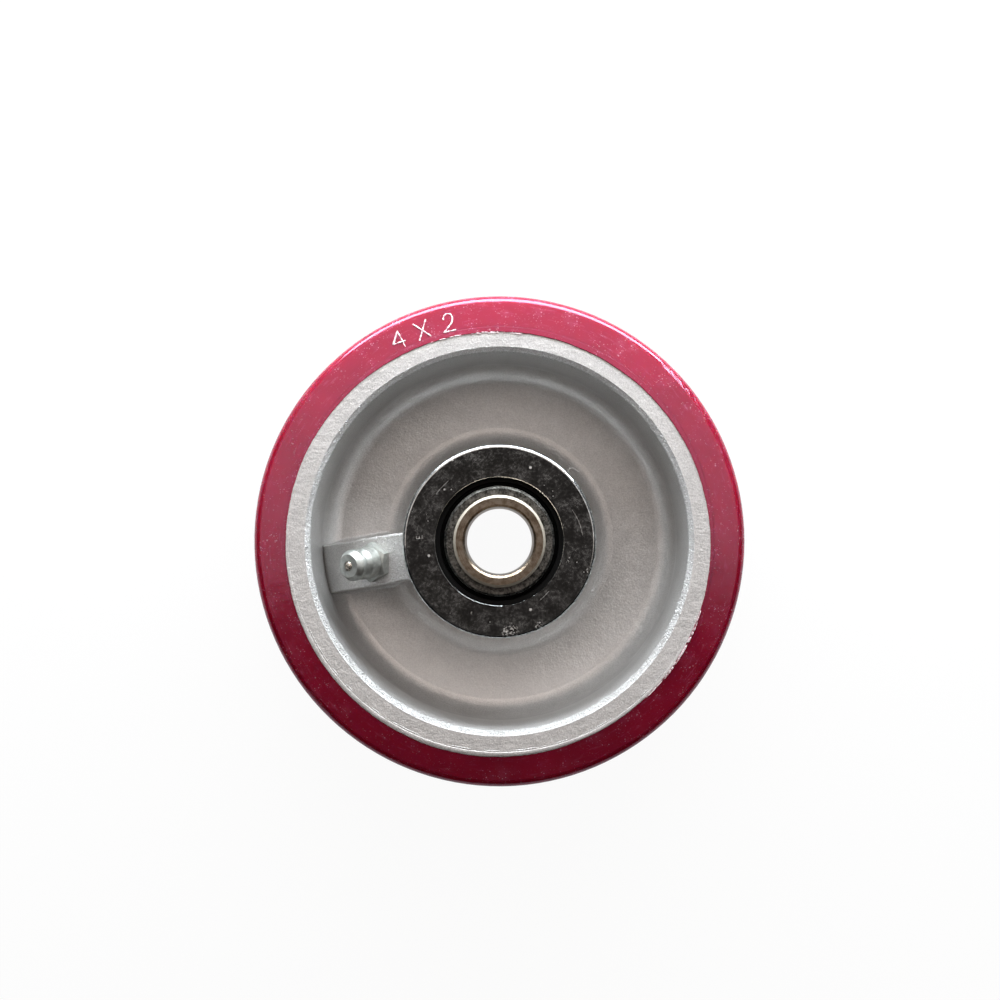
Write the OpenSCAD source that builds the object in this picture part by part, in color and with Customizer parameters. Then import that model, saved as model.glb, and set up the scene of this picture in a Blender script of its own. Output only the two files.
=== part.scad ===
// Castor wheel: a polyurethane tyre moulded on a cast centre, which turns on a caged roller bearing.
// Millimetres. The wheel lies on its side: its axis is Z, and the lower end of its bushing is at the
// origin. Outlines that are revolved are drawn as [radius, height over the mid-plane].

/* [Tyre] */
// Diameter over the tread
wheel_d = 101.6; // [98:0.1:112]
// Width over the tyre, which is flush with the rim
wheel_w = 50.8; // [47:0.1:54]
// Thickness of the tyre on the rim
tyre_t = 6.73; // [5:0.01:8]
// Slope of the tyre's sides, in degrees
tyre_slope = 11; // [4:1:16]
// Round of the tyre's shoulders
shoulder_r = 1.9; // [0.6:0.1:2.4]

/* [Rim and web] */
// Width of the rim's flat face
rim_face_w = 3.82; // [3:0.01:5]
// Draft of the rim's inner wall, in degrees
rim_draft = 6.5; // [4:0.5:12]
// Bevel of the rim's inner edge
rim_bevel = 1.1; // [0.4:0.1:1.8]
// Thickness of the web between hub and rim
web_t = 9; // [6:0.5:12]
// Fillets where the web meets the hub and the rim
web_fillet_r = 4.2; // [1.5:0.1:4.6]

/* [Hub] */
// Diameter of the hub at its ends
hub_d = 39.6; // [38.5:0.1:42]
// Draft of the hub's outer wall, in degrees
hub_draft = 1.5; // [0.5:0.5:3]
// Diameter of the bearing bore through the hub
race_d = 30.16; // [29:0.01:31]

/* [Bushing] */
// Length over the bushing's ends
bushing_len = 55.56; // [53:0.01:60]
// Outer diameter of the bushing, which is the bearing's inner race
bushing_d = 19.05; // [18:0.01:19.6]
// Diameter of the axle bore
axle_d = 14.29; // [12:0.01:15.5]
// Chamfer of the bushing's outer edges
bushing_chamfer = 0.5; // [0.2:0.05:0.9]
// Chamfer at the mouths of the axle bore
axle_chamfer = 0.45; // [0.2:0.05:0.8]

/* [Hub caps] */
// Diameter of the retainer's flange
retainer_d = 40.1; // [39.2:0.1:42]
// Thickness of the retainer's flange
retainer_t = 1.8; // [1.2:0.1:2.4]
// How far the bushing's end stands proud of the retainer's face
bushing_reveal = 1.58; // [0.8:0.01:2.4]
// Hole through the retainer, which holds the seal
retainer_hole_d = 26.5; // [25.6:0.1:27.4]
// Length of the retainer's spigot in the bearing bore
spigot_len = 5; // [4:0.1:6]
// Round of the flange's outer edge
retainer_edge_r = 0.8; // [0.3:0.1:1.1]
// Round of the hole's edge
retainer_lip_r = 0.2; // [0.1:0.1:0.6]
// Outer diameter of the steel collars on the bushing
collar_d = 22.9; // [22:0.1:23.6]
// How far the collar's face lies behind the bushing's end
collar_recess = 1.9; // [1:0.1:3]
// Chamfer of the collar's outer edge
collar_chamfer = 0.5; // [0.2:0.1:0.7]
// How far the seal's face lies behind the retainer's face
seal_recess = 1.7; // [1:0.1:2]
// Thickness of the seal
seal_t = 3; // [2.2:0.1:3.2]
// Play between the seal's lip and the collar
seal_lip_play = 0.03; // [0.02:0.01:0.08]
// Width of the seal's ring in the retainer
seal_ring_w = 0.9; // [0.6:0.1:1.2]

/* [Roller bearing] */
// Number of rollers
roller_count = 10; // [8:1:11]
// Play of a roller between the two races, each side
roller_play = 0.0275; // [0.01:0.0025:0.05]
// Play of the rollers along the cage, each end
roller_end_play = 0.2; // [0.1:0.05:0.4]
// Chamfer of the rollers' ends
roller_chamfer = 0.4; // [0.1:0.1:0.8]
// Thickness of the cage's end rings
cage_ring_t = 1.6; // [1.2:0.1:2.2]
// Gap between the end rings and each race
cage_gap = 0.4; // [0.2:0.05:0.6]
// Play of the cage along the bore, each end
cage_end_play = 0.4; // [0.2:0.05:0.8]
// Radial height of the cage's bars
cage_bar_h = 3.8; // [3:0.1:4.2]
// Gap between a bar and the rollers beside it
cage_pocket_gap = 0.25; // [0.15:0.05:0.35]
// Diameter of the tenons that hold the bars in the end rings
tenon_d = 1.5; // [1:0.1:1.7]

/* [Rib] */
// Direction of the rib round the hub, in degrees
rib_angle = 189.3; // [180:0.1:200]
// Width of the rib's top
rib_w = 9.8; // [9:0.1:12]
// Slope of the rib's top from the hub down to the rim, in degrees
rib_slope = 38; // [34:1:42]
// Height of the rib's top over the mid-plane where it leaves the hub
rib_top_z = 21.6; // [20:0.1:23]
// Draft of the rib's sides, in degrees
rib_draft = 1; // [0.5:0.5:3]
// Round of the rib's upper edges
rib_edge_r = 0.4; // [0.2:0.1:1]
// How far the rib's ends run into the hub and the rim
rib_root = 2.4; // [1:0.1:3]
// Fillets at the foot of the rib
rib_foot_r = 1.0; // [0.5:0.1:2]

/* [Grease nipple] */
// Distance from the wheel's axis to the centre of the nipple's seat
nipple_r = 26.3; // [25:0.1:27]
// Turn of the screwed-in nipple, in degrees
nipple_turn = 18; // [0:1:59]
// Width across the flats of the nipple's hexagon
nipple_hex_w = 7.3; // [7:0.01:7.7]
// Height of the hexagon
nipple_hex_h = 2; // [1.6:0.1:2.6]
// Height of the nipple over its seat
nipple_h = 8.8; // [8:0.1:9.2]
// Diameter of the nipple's coupling head
nipple_head_d = 6.5; // [6:0.1:7]
// Diameter of the head's flat face
nipple_face_d = 4.8; // [4.2:0.1:5.4]
// Diameter of the nipple's neck
nipple_neck_d = 5.5; // [5:0.1:5.8]
// Diameter of the drum between hexagon and neck
nipple_drum_d = 6.6; // [6.2:0.1:6.9]
// Diameter of the nipple's shank, which fills its hole
nipple_shank_d = 6.35; // [5.6:0.01:6.8]
// Length of the shank
nipple_shank_len = 6; // [4.5:0.1:7]
// Length of the cone from the head's face to its widest part
head_cone_len = 1.3; // [1.1:0.1:1.8]
// Length of the head's widest part
head_band_len = 0.8; // [0.6:0.1:1.2]
// Length of the cone behind the head
head_back_len = 0.6; // [0.4:0.1:0.9]
// Length of the neck
neck_len = 0.4; // [0.3:0.1:0.8]
// Length of the cone from the neck out to the drum
drum_cone_len = 1.1; // [0.7:0.1:1.3]
// Chamfer of the shank's end
shank_chamfer = 0.5; // [0.2:0.1:0.8]
// Depth of the mouth's lip
mouth_len = 0.2; // [0.1:0.05:0.3]
// Length of the cone behind the lip
lip_cone_len = 0.7; // [0.5:0.1:1]
// Height of the chamber's floor over the seat
chamber_floor = 1; // [0.6:0.1:1.4]
// Diameter of the ball in the nipple's mouth
ball_d = 2.38; // [2.2:0.01:2.6]
// Diameter of the mouth that the ball closes
mouth_d = 2.1; // [1.8:0.05:2.15]
// Play of the ball behind the mouth
ball_play = 0.02; // [0.01:0.01:0.05]
// Bore of the chamber for ball and spring
chamber_d = 3; // [2.8:0.1:3.2]
// Diameter of the grease ways
grease_way_d = 2.6; // [2:0.1:3.2]
// Outer diameter of the spring
spring_d = 2.4; // [2:0.1:2.6]
// Diameter of the spring's wire
spring_wire_d = 0.36; // [0.25:0.01:0.45]
// Number of the spring's turns
spring_turns = 9; // [5:1:12]

/* [Hidden] */
$fn = 96;
// How far a shape runs past the face that it is joined to or cut from
lap = 0.3;
arc_skin = 0.01;
tread_r = wheel_d / 2;
rim_r = tread_r - tyre_t;
rim_z = wheel_w / 2;
rim_inner_r = rim_r - rim_face_w;
web_z = web_t / 2;
rim_wall_r = rim_inner_r - rim_bevel;
rim_wall_z = rim_z - rim_bevel;
wall_root_r = rim_wall_r - (rim_wall_z - web_z) * tan(rim_draft);
race_r = race_d / 2;
hub_r = hub_d / 2;

mid_z = bushing_len / 2;
retainer_z = mid_z - bushing_reveal;
hub_z = retainer_z - retainer_t;
hub_root_r = hub_r + (hub_z - web_z) * tan(hub_draft);
retainer_r = retainer_d / 2;
retainer_hole_r = retainer_hole_d / 2;
spigot_z = hub_z - spigot_len;
seal_z = retainer_z - seal_recess;
bushing_r = bushing_d / 2;
axle_r = axle_d / 2;
collar_r = collar_d / 2;
collar_z = mid_z - collar_recess;

cage_z = spigot_z - cage_end_play;
cage_bar_z = cage_z - cage_ring_t;
cage_inner_r = bushing_r + cage_gap;
cage_outer_r = race_r - cage_gap;
pitch_r = (bushing_r + race_r) / 2;
roller_r = (race_r - bushing_r) / 2 - roller_play;
roller_z = cage_bar_z - roller_end_play;
roller_step = 360 / roller_count;
collar_end_z = cage_z + cage_end_play / 2;

rib_start_r = hub_r - rib_root;
rib_end_r = wall_root_r + rib_root;
rib_peak_z = rib_top_at(rib_start_r);
nipple_z = rib_top_at(nipple_r);
// Length of the drilled way from the nipple's seat into the bearing bore
grease_way_len = (nipple_r - race_r) / sin(rib_slope) + grease_way_d;

nipple_face_r = nipple_face_d / 2;
nipple_head_r = nipple_head_d / 2;
nipple_neck_r = nipple_neck_d / 2;
nipple_drum_r = nipple_drum_d / 2;
nipple_shank_r = nipple_shank_d / 2;
ball_r = ball_d / 2;
mouth_r = mouth_d / 2;
chamber_r = chamber_d / 2;
grease_way_r = grease_way_d / 2;
head_z = nipple_h - head_cone_len;
band_z = head_z - head_band_len;
neck_z = band_z - head_back_len;
drum_z = neck_z - neck_len;
mouth_z = nipple_h - mouth_len;
ball_z = mouth_z - sqrt(pow(ball_r + ball_play, 2) - pow(mouth_r, 2));
spring_wire_r = spring_wire_d / 2;
spring_coil_r = spring_d / 2 - spring_wire_r;
spring_low_z = chamber_floor + spring_wire_r;
spring_top_z = ball_z - sqrt(pow(ball_r + spring_wire_r + ball_play, 2) - pow(spring_coil_r, 2));
coil_steps = 16;
wire_sides = 8;

silver_paint = "#b9b8b5";
zinc = "#c9cbcc";
bare_steel = "#8f8477";
bearing_steel = "#a9abad";
cage_steel = "#83868a";
urethane = "#a3183c";
black_rubber = "#161616";

function along(angle, distance) = distance * [cos(angle), sin(angle)];
// Height of the rib's top, and half its width at a height
function rib_top_at(r) = rib_top_z - (r - hub_r) * tan(rib_slope);
function rib_half_at(z) = rib_w / 2 + (rib_top_z - z) * tan(rib_draft);
function with_lower_half(outline) = concat(outline, [
    for (i = [len(outline) - 1:-1:0]) [outline[i].x, -outline[i].y]
]);

// Space between a corner and an arc that touches both of its edges, which leave the corner at the
// angles first and last. It laps past the edges, and is added for a fillet or cut away for a round.
// The arc is a little too large, so that it crosses the edges at an angle.
module corner(at, first, last, r) {
    half = (last - first) / 2;
    centre = at + along(first + half, r / sin(half));
    start = at + along(first, r / tan(half));
    end = at + along(last, r / tan(half));
    difference() {
        polygon([
            start,
            centre,
            end,
            end + along(last + 90, lap),
            at + along(first + half + 180, lap / sin(half)),
            start + along(first - 90, lap)
        ]);
        translate(centre) circle(r + arc_skin);
    }
}

module both_sides() {
    children();
    mirror([0, 1]) children();
}

module on_mid_plane() {
    translate([0, 0, mid_z]) children();
}

module on_front() {
    on_mid_plane() children();
}

module on_back() {
    on_mid_plane() mirror([0, 0, 1]) children();
}

// Tyre with sloping sides and rounded shoulders
module tyre() {
    shoulder = [tread_r, rim_z - tyre_t * tan(tyre_slope)];
    color(urethane) on_mid_plane() rotate_extrude() difference() {
        polygon(with_lower_half([[rim_r, rim_z], shoulder]));
        both_sides() corner(shoulder, 180 - tyre_slope, 270, shoulder_r);
    }
}

// Half section of what is turned out of the casting on one side: the space from the rim's bevelled
// and drafted wall to the hub, and what the hub lies back from the rim
module pocket_section() {
    hub_foot = [hub_root_r, web_z];
    rim_foot = [wall_root_r, web_z];
    difference() {
        polygon([
            [0, hub_z],
            [hub_r, hub_z],
            hub_foot,
            rim_foot,
            [rim_wall_r, rim_wall_z],
            [rim_inner_r + lap, rim_z + lap],
            [0, rim_z + lap]
        ]);
        corner(hub_foot, 0, 90 + hub_draft, web_fillet_r);
        corner(rim_foot, 90 - rim_draft, 180, web_fillet_r);
    }
}

// Side view of the rib: its top slopes from the hub down to the rim
module rib_side_outline() {
    polygon([
        [rib_start_r, 0],
        [rib_end_r, 0],
        [rib_end_r, rib_top_at(rib_end_r)],
        [rib_start_r, rib_peak_z]
    ]);
}

// End view of the rib: its sides have draft
module rib_end_outline() {
    polygon([
        [-rib_half_at(0), 0],
        [rib_half_at(0), 0],
        [rib_half_at(rib_peak_z), rib_peak_z],
        [-rib_half_at(rib_peak_z), rib_peak_z]
    ]);
}

// What the round of one upper edge takes off
module rib_edge_round() {
    edge_turn = atan(tan(rib_draft) * tan(rib_slope));
    side_lean = atan(tan(rib_draft) * cos(rib_slope));
    run = 2 * rib_end_r;
    translate([hub_r, rib_half_at(rib_top_z), rib_top_z])
        rotate([0, rib_slope, edge_turn])
            translate([-run / 2, 0, 0])
                rotate([90, 0, 90])
                    linear_extrude(run) corner([0, 0], 180, 270 + side_lean, rib_edge_r);
}

// Fillet between the web and one side of the rib
module rib_foot() {
    translate([rib_start_r, rib_half_at(web_z), web_z])
        rotate([90, 0, 90])
            linear_extrude(rib_end_r - rib_start_r) corner([0, 0], 0, 90 + rib_draft, rib_foot_r);
}

// Cast rib along +X that carries the grease nipple
module rib() {
    difference() {
        intersection() {
            rotate([90, 0, 0]) linear_extrude(4 * rib_w, center = true) rib_side_outline();
            rotate([90, 0, 90]) linear_extrude(2 * rib_end_r) rib_end_outline();
        }
        for (side = [0, 1]) mirror([0, side, 0]) rib_edge_round();
    }
    for (side = [0, 1]) mirror([0, side, 0]) rib_foot();
}

// Carries children from the nipple's own frame, seat at its origin and mouth along +Z, to the rib
module at_nipple() {
    on_mid_plane() rotate([0, 0, rib_angle])
        translate([nipple_r, 0, nipple_z])
            rotate([0, rib_slope, 0]) children();
}

// Cast centre: a blank with a pocket on each side, the bearing bore, and the nipple's drilled ways.
// The rib is left standing in the front pocket.
module wheel_core() {
    color(silver_paint) difference() {
        on_mid_plane() cylinder(r = rim_r, h = 2 * rim_z, center = true);
        on_mid_plane() cylinder(r = race_r, h = 3 * rim_z, center = true);
        on_front() difference() {
            rotate_extrude() pocket_section();
            rotate([0, 0, rib_angle]) rib();
        }
        on_back() rotate_extrude() pocket_section();
        at_nipple() {
            translate([0, 0, -nipple_shank_len]) cylinder(r = nipple_shank_r, h = 2 * nipple_shank_len);
            translate([0, 0, -grease_way_len]) cylinder(r = grease_way_r, h = grease_way_len);
        }
    }
}

// Pressed cap: a flange on the hub's end and a spigot in its bore
module retainer() {
    color(zinc) rotate_extrude() difference() {
        polygon([
            [retainer_hole_r, spigot_z],
            [retainer_hole_r, retainer_z],
            [retainer_r, retainer_z],
            [retainer_r, hub_z],
            [race_r, hub_z],
            [race_r, spigot_z]
        ]);
        corner([retainer_r, retainer_z], 180, 270, retainer_edge_r);
        corner([retainer_hole_r, retainer_z], 270, 360, retainer_lip_r);
    }
}

// Rubber ring in the retainer, with a lip that leans outwards and runs on the collar
module seal() {
    lip_r = collar_r + seal_lip_play;
    ring_r = retainer_hole_r - seal_ring_w;
    color(black_rubber) rotate_extrude() polygon([
        [retainer_hole_r, seal_z],
        [ring_r, seal_z],
        [ring_r - 0.1 * seal_t, seal_z - 0.25 * seal_t],
        [lip_r + 0.1 * seal_t, seal_z - 0.15 * seal_t],
        [lip_r, seal_z - 0.25 * seal_t],
        [lip_r, seal_z - 0.4 * seal_t],
        [ring_r, seal_z - 0.75 * seal_t],
        [ring_r, seal_z - seal_t],
        [retainer_hole_r, seal_z - seal_t]
    ]);
}

// Hardened steel tube that is clamped in the fork: its outside is the bearing's inner race
module spanner_bushing() {
    color(bare_steel) on_mid_plane() rotate_extrude() polygon(with_lower_half([
        [axle_r, mid_z - axle_chamfer],
        [axle_r + axle_chamfer, mid_z],
        [bushing_r - bushing_chamfer, mid_z],
        [bushing_r, mid_z - bushing_chamfer]
    ]));
}

// Steel ring on the bushing, under the seal's lip
module collar() {
    color(bearing_steel) rotate_extrude() polygon([
        [bushing_r, collar_end_z],
        [bushing_r, collar_z],
        [collar_r - collar_chamfer, collar_z],
        [collar_r, collar_z - collar_chamfer],
        [collar_r, collar_end_z]
    ]);
}

// Places a child on the pitch circle, as many steps round as given
module on_pitch(steps) {
    rotate([0, 0, steps * roller_step]) translate([pitch_r, 0, 0]) children();
}

// End ring of the cage, with a hole for each bar's tenon
module cage_ring() {
    color(cage_steel) difference() {
        translate([0, 0, cage_bar_z]) difference() {
            cylinder(r = cage_outer_r, h = cage_ring_t);
            translate([0, 0, -cage_ring_t]) cylinder(r = cage_inner_r, h = 3 * cage_ring_t);
        }
        for (i = [1:roller_count]) on_pitch(i + 0.5) {
            translate([0, 0, cage_bar_z - cage_ring_t]) cylinder(d = tenon_d, h = 3 * cage_ring_t);
        }
    }
}

// Section of a bar: what is left of a ring between two rollers
module cage_bar_section() {
    intersection() {
        difference() {
            circle(pitch_r + cage_bar_h / 2);
            circle(pitch_r - cage_bar_h / 2);
            for (side = [-0.5, 0.5]) rotate(side * roller_step) {
                translate([pitch_r, 0]) circle(roller_r + cage_pocket_gap);
            }
        }
        polygon([
            [0, 0],
            along(-roller_step / 2, 2 * race_r),
            along(roller_step / 2, 2 * race_r)
        ]);
    }
}

// Bar between two rollers, with a tenon at each end
module cage_bar(i) {
    color(cage_steel) on_mid_plane() {
        rotate([0, 0, (i + 0.5) * roller_step])
            translate([0, 0, -cage_bar_z]) linear_extrude(2 * cage_bar_z) cage_bar_section();
        on_pitch(i + 0.5) cylinder(d = tenon_d, h = 2 * cage_z, center = true);
    }
}

// Straight roller with chamfered ends
module roller(i) {
    color(bearing_steel) on_mid_plane() on_pitch(i) rotate_extrude() polygon([
        [0, -roller_z],
        [roller_r - roller_chamfer, -roller_z],
        [roller_r, -roller_z + roller_chamfer],
        [roller_r, roller_z - roller_chamfer],
        [roller_r - roller_chamfer, roller_z],
        [0, roller_z]
    ]);
}

// Outside of the nipple over its hexagon: drum, neck, and a head that narrows to its face
module nipple_head_section() {
    polygon([
        [0, nipple_hex_h],
        [nipple_drum_r, nipple_hex_h],
        [nipple_drum_r, drum_z - drum_cone_len],
        [nipple_neck_r, drum_z],
        [nipple_neck_r, neck_z],
        [nipple_head_r, band_z],
        [nipple_head_r, head_z],
        [nipple_face_r, nipple_h],
        [0, nipple_h]
    ]);
}

// Hexagon whose corners are cut by a cone
module nipple_hexagon() {
    hex_corner_r = nipple_hex_w / 2 / cos(30);
    cone_r = hex_corner_r + lap;
    intersection() {
        rotate([0, 0, nipple_turn]) cylinder(r = hex_corner_r, h = nipple_hex_h + lap, $fn = 6);
        rotate_extrude() polygon([
            [0, -lap],
            [cone_r, -lap],
            [cone_r, nipple_hex_h - (cone_r - nipple_drum_r) / 2],
            [nipple_drum_r, nipple_hex_h],
            [0, nipple_hex_h]
        ]);
    }
}

// Way through the nipple: shank, spring chamber, cone behind the lip and mouth
module nipple_way_section() {
    polygon([
        [0, -2 * nipple_shank_len],
        [grease_way_r / 2, -2 * nipple_shank_len],
        [grease_way_r / 2, chamber_floor],
        [chamber_r, chamber_floor],
        [chamber_r, mouth_z - lip_cone_len],
        [mouth_r, mouth_z],
        [mouth_r, nipple_h + mouth_len],
        [0, nipple_h + mouth_len]
    ]);
}

module nipple_body() {
    color(zinc) at_nipple() difference() {
        union() {
            rotate_extrude() polygon([
                [0, -nipple_shank_len],
                [nipple_shank_r - shank_chamfer, -nipple_shank_len],
                [nipple_shank_r, -nipple_shank_len + shank_chamfer],
                [nipple_shank_r, 0],
                [0, 0]
            ]);
            nipple_hexagon();
            rotate_extrude() nipple_head_section();
        }
        rotate_extrude() nipple_way_section();
    }
}

module nipple_ball() {
    color(bearing_steel) at_nipple() translate([0, 0, ball_z]) sphere(ball_r);
}

// Coiled wire: one ring of points for each step along the helix
module nipple_spring() {
    steps = spring_turns * coil_steps;
    rise = (spring_top_z - spring_low_z) / steps;
    points = [
        for (i = [0:steps], j = [0:wire_sides - 1])
            let (
                turn = i * 360 / coil_steps,
                wire = along(j * 360 / wire_sides, spring_wire_r),
                r = spring_coil_r + wire.x
            )
            [r * cos(turn), r * sin(turn), spring_low_z + i * rise + wire.y]
    ];
    walls = [
        for (i = [0:steps - 1], j = [0:wire_sides - 1])
            let (next = (j + 1) % wire_sides, a = i * wire_sides, b = a + wire_sides)
            [a + j, b + j, b + next, a + next]
    ];
    first_end = [for (j = [0:wire_sides - 1]) j];
    last_end = [for (j = [wire_sides - 1:-1:0]) steps * wire_sides + j];
    color(bearing_steel) at_nipple()
        polyhedron(points, concat([first_end, last_end], walls));
}

tyre();
wheel_core();
on_front() retainer();  // front_retainer
on_back() retainer();  // back_retainer
on_front() seal();  // front_seal
on_back() seal();  // back_seal
spanner_bushing();
on_front() collar();  // front_collar
on_back() collar();  // back_collar
on_front() cage_ring();  // front_cage_ring
on_back() cage_ring();  // back_cage_ring
for (i = [1:roller_count]) {
    cage_bar(i);
    roller(i);
}
nipple_body();
nipple_ball();
nipple_spring();
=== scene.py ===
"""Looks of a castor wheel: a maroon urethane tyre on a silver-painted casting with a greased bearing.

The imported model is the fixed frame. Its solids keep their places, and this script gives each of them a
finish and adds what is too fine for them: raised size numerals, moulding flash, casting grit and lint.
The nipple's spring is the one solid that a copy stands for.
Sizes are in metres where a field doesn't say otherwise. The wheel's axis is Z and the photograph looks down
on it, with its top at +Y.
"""

import logging
import math
from collections.abc import Sequence
from dataclasses import asdict, dataclass
from enum import Enum
from functools import reduce

import bmesh
import bpy
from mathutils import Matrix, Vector


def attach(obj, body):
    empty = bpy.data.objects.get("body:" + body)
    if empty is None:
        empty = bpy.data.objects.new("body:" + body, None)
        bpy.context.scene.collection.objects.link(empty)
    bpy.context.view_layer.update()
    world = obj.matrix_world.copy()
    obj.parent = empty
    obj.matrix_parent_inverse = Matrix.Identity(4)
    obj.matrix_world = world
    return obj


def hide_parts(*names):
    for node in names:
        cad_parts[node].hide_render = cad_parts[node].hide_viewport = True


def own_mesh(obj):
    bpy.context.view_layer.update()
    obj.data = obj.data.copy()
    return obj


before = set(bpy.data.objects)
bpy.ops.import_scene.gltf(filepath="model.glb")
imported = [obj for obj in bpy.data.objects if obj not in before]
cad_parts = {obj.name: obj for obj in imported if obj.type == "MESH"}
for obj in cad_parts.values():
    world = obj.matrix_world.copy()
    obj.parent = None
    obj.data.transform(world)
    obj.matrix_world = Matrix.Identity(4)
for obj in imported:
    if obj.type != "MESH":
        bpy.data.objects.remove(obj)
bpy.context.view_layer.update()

LOG = logging.getLogger("castor_wheel")
Colour = tuple[float, float, float]
Point = tuple[float, float, float]
Socket = bpy.types.NodeSocket
MM = 0.001
WHITE: Colour = (1.0, 1.0, 1.0)
SOCKET_KINDS = {float: "NodeSocketFloat", int: "NodeSocketInt", tuple: "NodeSocketVector"}


class Side(Enum):
    """A side of the wheel, with the direction of its face along Z."""

    FRONT = 1
    BACK = -1


@dataclass(frozen=True)
class Sizes:
    """Sizes of the wheel that the added pieces are fitted to, in metres.

    Attributes:
        mid_z: Height of the wheel's mid-plane.
        rim_z: Distance of the rim's flat face from the mid-plane.
        rim_r: Outer radius of the rim, on which the tyre sits.
        rim_inner_r: Inner radius of the rim's flat face.
        rim_bevel: Bevel of the rim's inner edge.
        retainer_z: Height of the front cap's face.
        web_z: Distance of the web's face from the mid-plane.
        tyre_slope: Slope of the tyre's sides.
        rib_angle: Direction of the rib round the hub.
    """

    mid_z: float = 27.78 * MM
    rim_z: float = 25.4 * MM
    rim_r: float = 44.07 * MM
    rim_inner_r: float = 40.25 * MM
    rim_bevel: float = 1.1 * MM
    retainer_z: float = 53.98 * MM
    web_z: float = 4.5 * MM
    tyre_slope: float = math.radians(11)
    rib_angle: float = math.radians(189.3)

    def face_z(self, side: Side) -> float:
        """Height of the rim's flat face."""
        return self.mid_z + side.value * self.rim_z

    def tyre_side_z(self, radius: float, side: Side) -> float:
        """Height of the tyre's sloping side at a radius."""
        drop = (radius - self.rim_r) * math.tan(self.tyre_slope)
        return self.mid_z + side.value * (self.rim_z - drop)


class Graph:
    """Short way to write a node tree."""

    def __init__(self, tree: bpy.types.NodeTree) -> None:
        """Wraps a tree and empties it."""
        self.tree = tree
        tree.nodes.clear()

    def add(self, kind: str, inputs: dict | None = None, **properties: object) -> bpy.types.Node:
        """Adds a node.

        Args:
            kind: Type of the node, as Blender names it.
            inputs: Value or output socket for each input, by its name or its number.
            **properties: Settings of the node itself.

        Returns:
            The new node.
        """
        node = self.tree.nodes.new(kind)
        for name, value in properties.items():
            setattr(node, name, value)
        for key, value in (inputs or {}).items():
            self.feed(node.inputs[key], value)
        return node

    def feed(self, socket: Socket, value: object) -> None:
        """Links another node's output to an input, or sets the input to a value.

        Args:
            socket: The input.
            value: Output socket or constant.
        """
        if isinstance(value, Socket):
            self.tree.links.new(value, socket)
        else:
            socket.default_value = value

    def math(self, operation: str, a: object, b: object = 0.0, clamp: bool = False) -> Socket:
        """Result of a calculation on one or two values."""
        return self.add("ShaderNodeMath", {0: a, 1: b}, operation=operation, use_clamp=clamp).outputs[0]

    def plus(self, a: object, b: object, clamp: bool = False) -> Socket:
        """Sum of two values, which may be kept between 0 and 1."""
        return self.math("ADD", a, b, clamp)

    def minus(self, a: object, b: object) -> Socket:
        """Difference of two values."""
        return self.math("SUBTRACT", a, b)

    def times(self, *factors: object) -> Socket:
        """Product of values."""
        return reduce(lambda a, b: self.math("MULTIPLY", a, b), factors)

    def highest(self, *values: object) -> Socket:
        """Highest of some values."""
        return reduce(lambda a, b: self.math("MAXIMUM", a, b), values)

    def noise(self, where: object, scale: float, detail: float = 2.0, roughness: float = 0.5) -> Socket:
        """Value of a three-dimensional noise, with its scale in cells a metre."""
        inputs = {"Vector": where, "Scale": scale, "Detail": detail, "Roughness": roughness}
        return self.add("ShaderNodeTexNoise", inputs).outputs[0]

    def seeded_noise(self, seed: object, scale: object, **inputs: object) -> Sequence[Socket]:
        """Value and colour of a noise that changes with a seed."""
        inputs = {"W": seed, "Scale": scale, **inputs}
        return self.add("ShaderNodeTexNoise", inputs, noise_dimensions="4D").outputs

    def ramp(self, value: object, low: float, high: float, start: float = 0.0, end: float = 1.0) -> Socket:
        """Smooth step of a value from start at low to end at high."""
        inputs = {"Value": value, "From Min": low, "From Max": high, "To Min": start, "To Max": end}
        return self.add("ShaderNodeMapRange", inputs, interpolation_type="SMOOTHSTEP").outputs[0]

    def mix(self, factor: object, first: object, second: object) -> Socket:
        """Blend of two colours."""
        return self.add("ShaderNodeMix", {0: factor, 6: first, 7: second}, data_type="RGBA").outputs[2]

    def vector(self, operation: str, a: object, b: object = (0.0, 0.0, 0.0)) -> Socket:
        """Result of a calculation on one or two vectors.

        Args:
            operation: The calculation, as Blender names it.
            a: First vector.
            b: Second vector.

        Returns:
            Socket of a value or a vector, as the calculation gives it.
        """
        node = self.add("ShaderNodeVectorMath", {0: a, 1: b}, operation=operation)
        single = operation in ("LENGTH", "DISTANCE", "DOT_PRODUCT")
        return node.outputs["Value" if single else "Vector"]

    def scale(self, vector: object, factor: object) -> Socket:
        """Vector times a value."""
        return self.add("ShaderNodeVectorMath", {0: vector, "Scale": factor}, operation="SCALE").outputs[0]

    def combine(self, x: object, y: object, z: object) -> Socket:
        """Vector of three values."""
        return self.add("ShaderNodeCombineXYZ", {0: x, 1: y, 2: z}).outputs[0]

    def separate(self, vector: object) -> Sequence[Socket]:
        """The three values of a vector."""
        return self.add("ShaderNodeSeparateXYZ", {0: vector}).outputs

    def bump(self, height: object, depth: float, below: object | None = None) -> Socket:
        """Surface normal of a relief.

        Args:
            height: Height of the relief, from 0 to 1.
            depth: Depth that it runs over, in metres.
            below: Normal of a broader relief under it.

        Returns:
            Socket of the normal.
        """
        inputs = {"Height": height, "Distance": depth, "Strength": 1.0}
        if below is not None:
            inputs["Normal"] = below
        return self.add("ShaderNodeBump", inputs).outputs[0]


def rgba(colour: Colour, share: float = 1.0) -> tuple[float, float, float, float]:
    """Colour with full alpha, darkened or lightened by a share."""
    return (*(min(1.0, share * value) for value in colour), 1.0)


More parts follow.
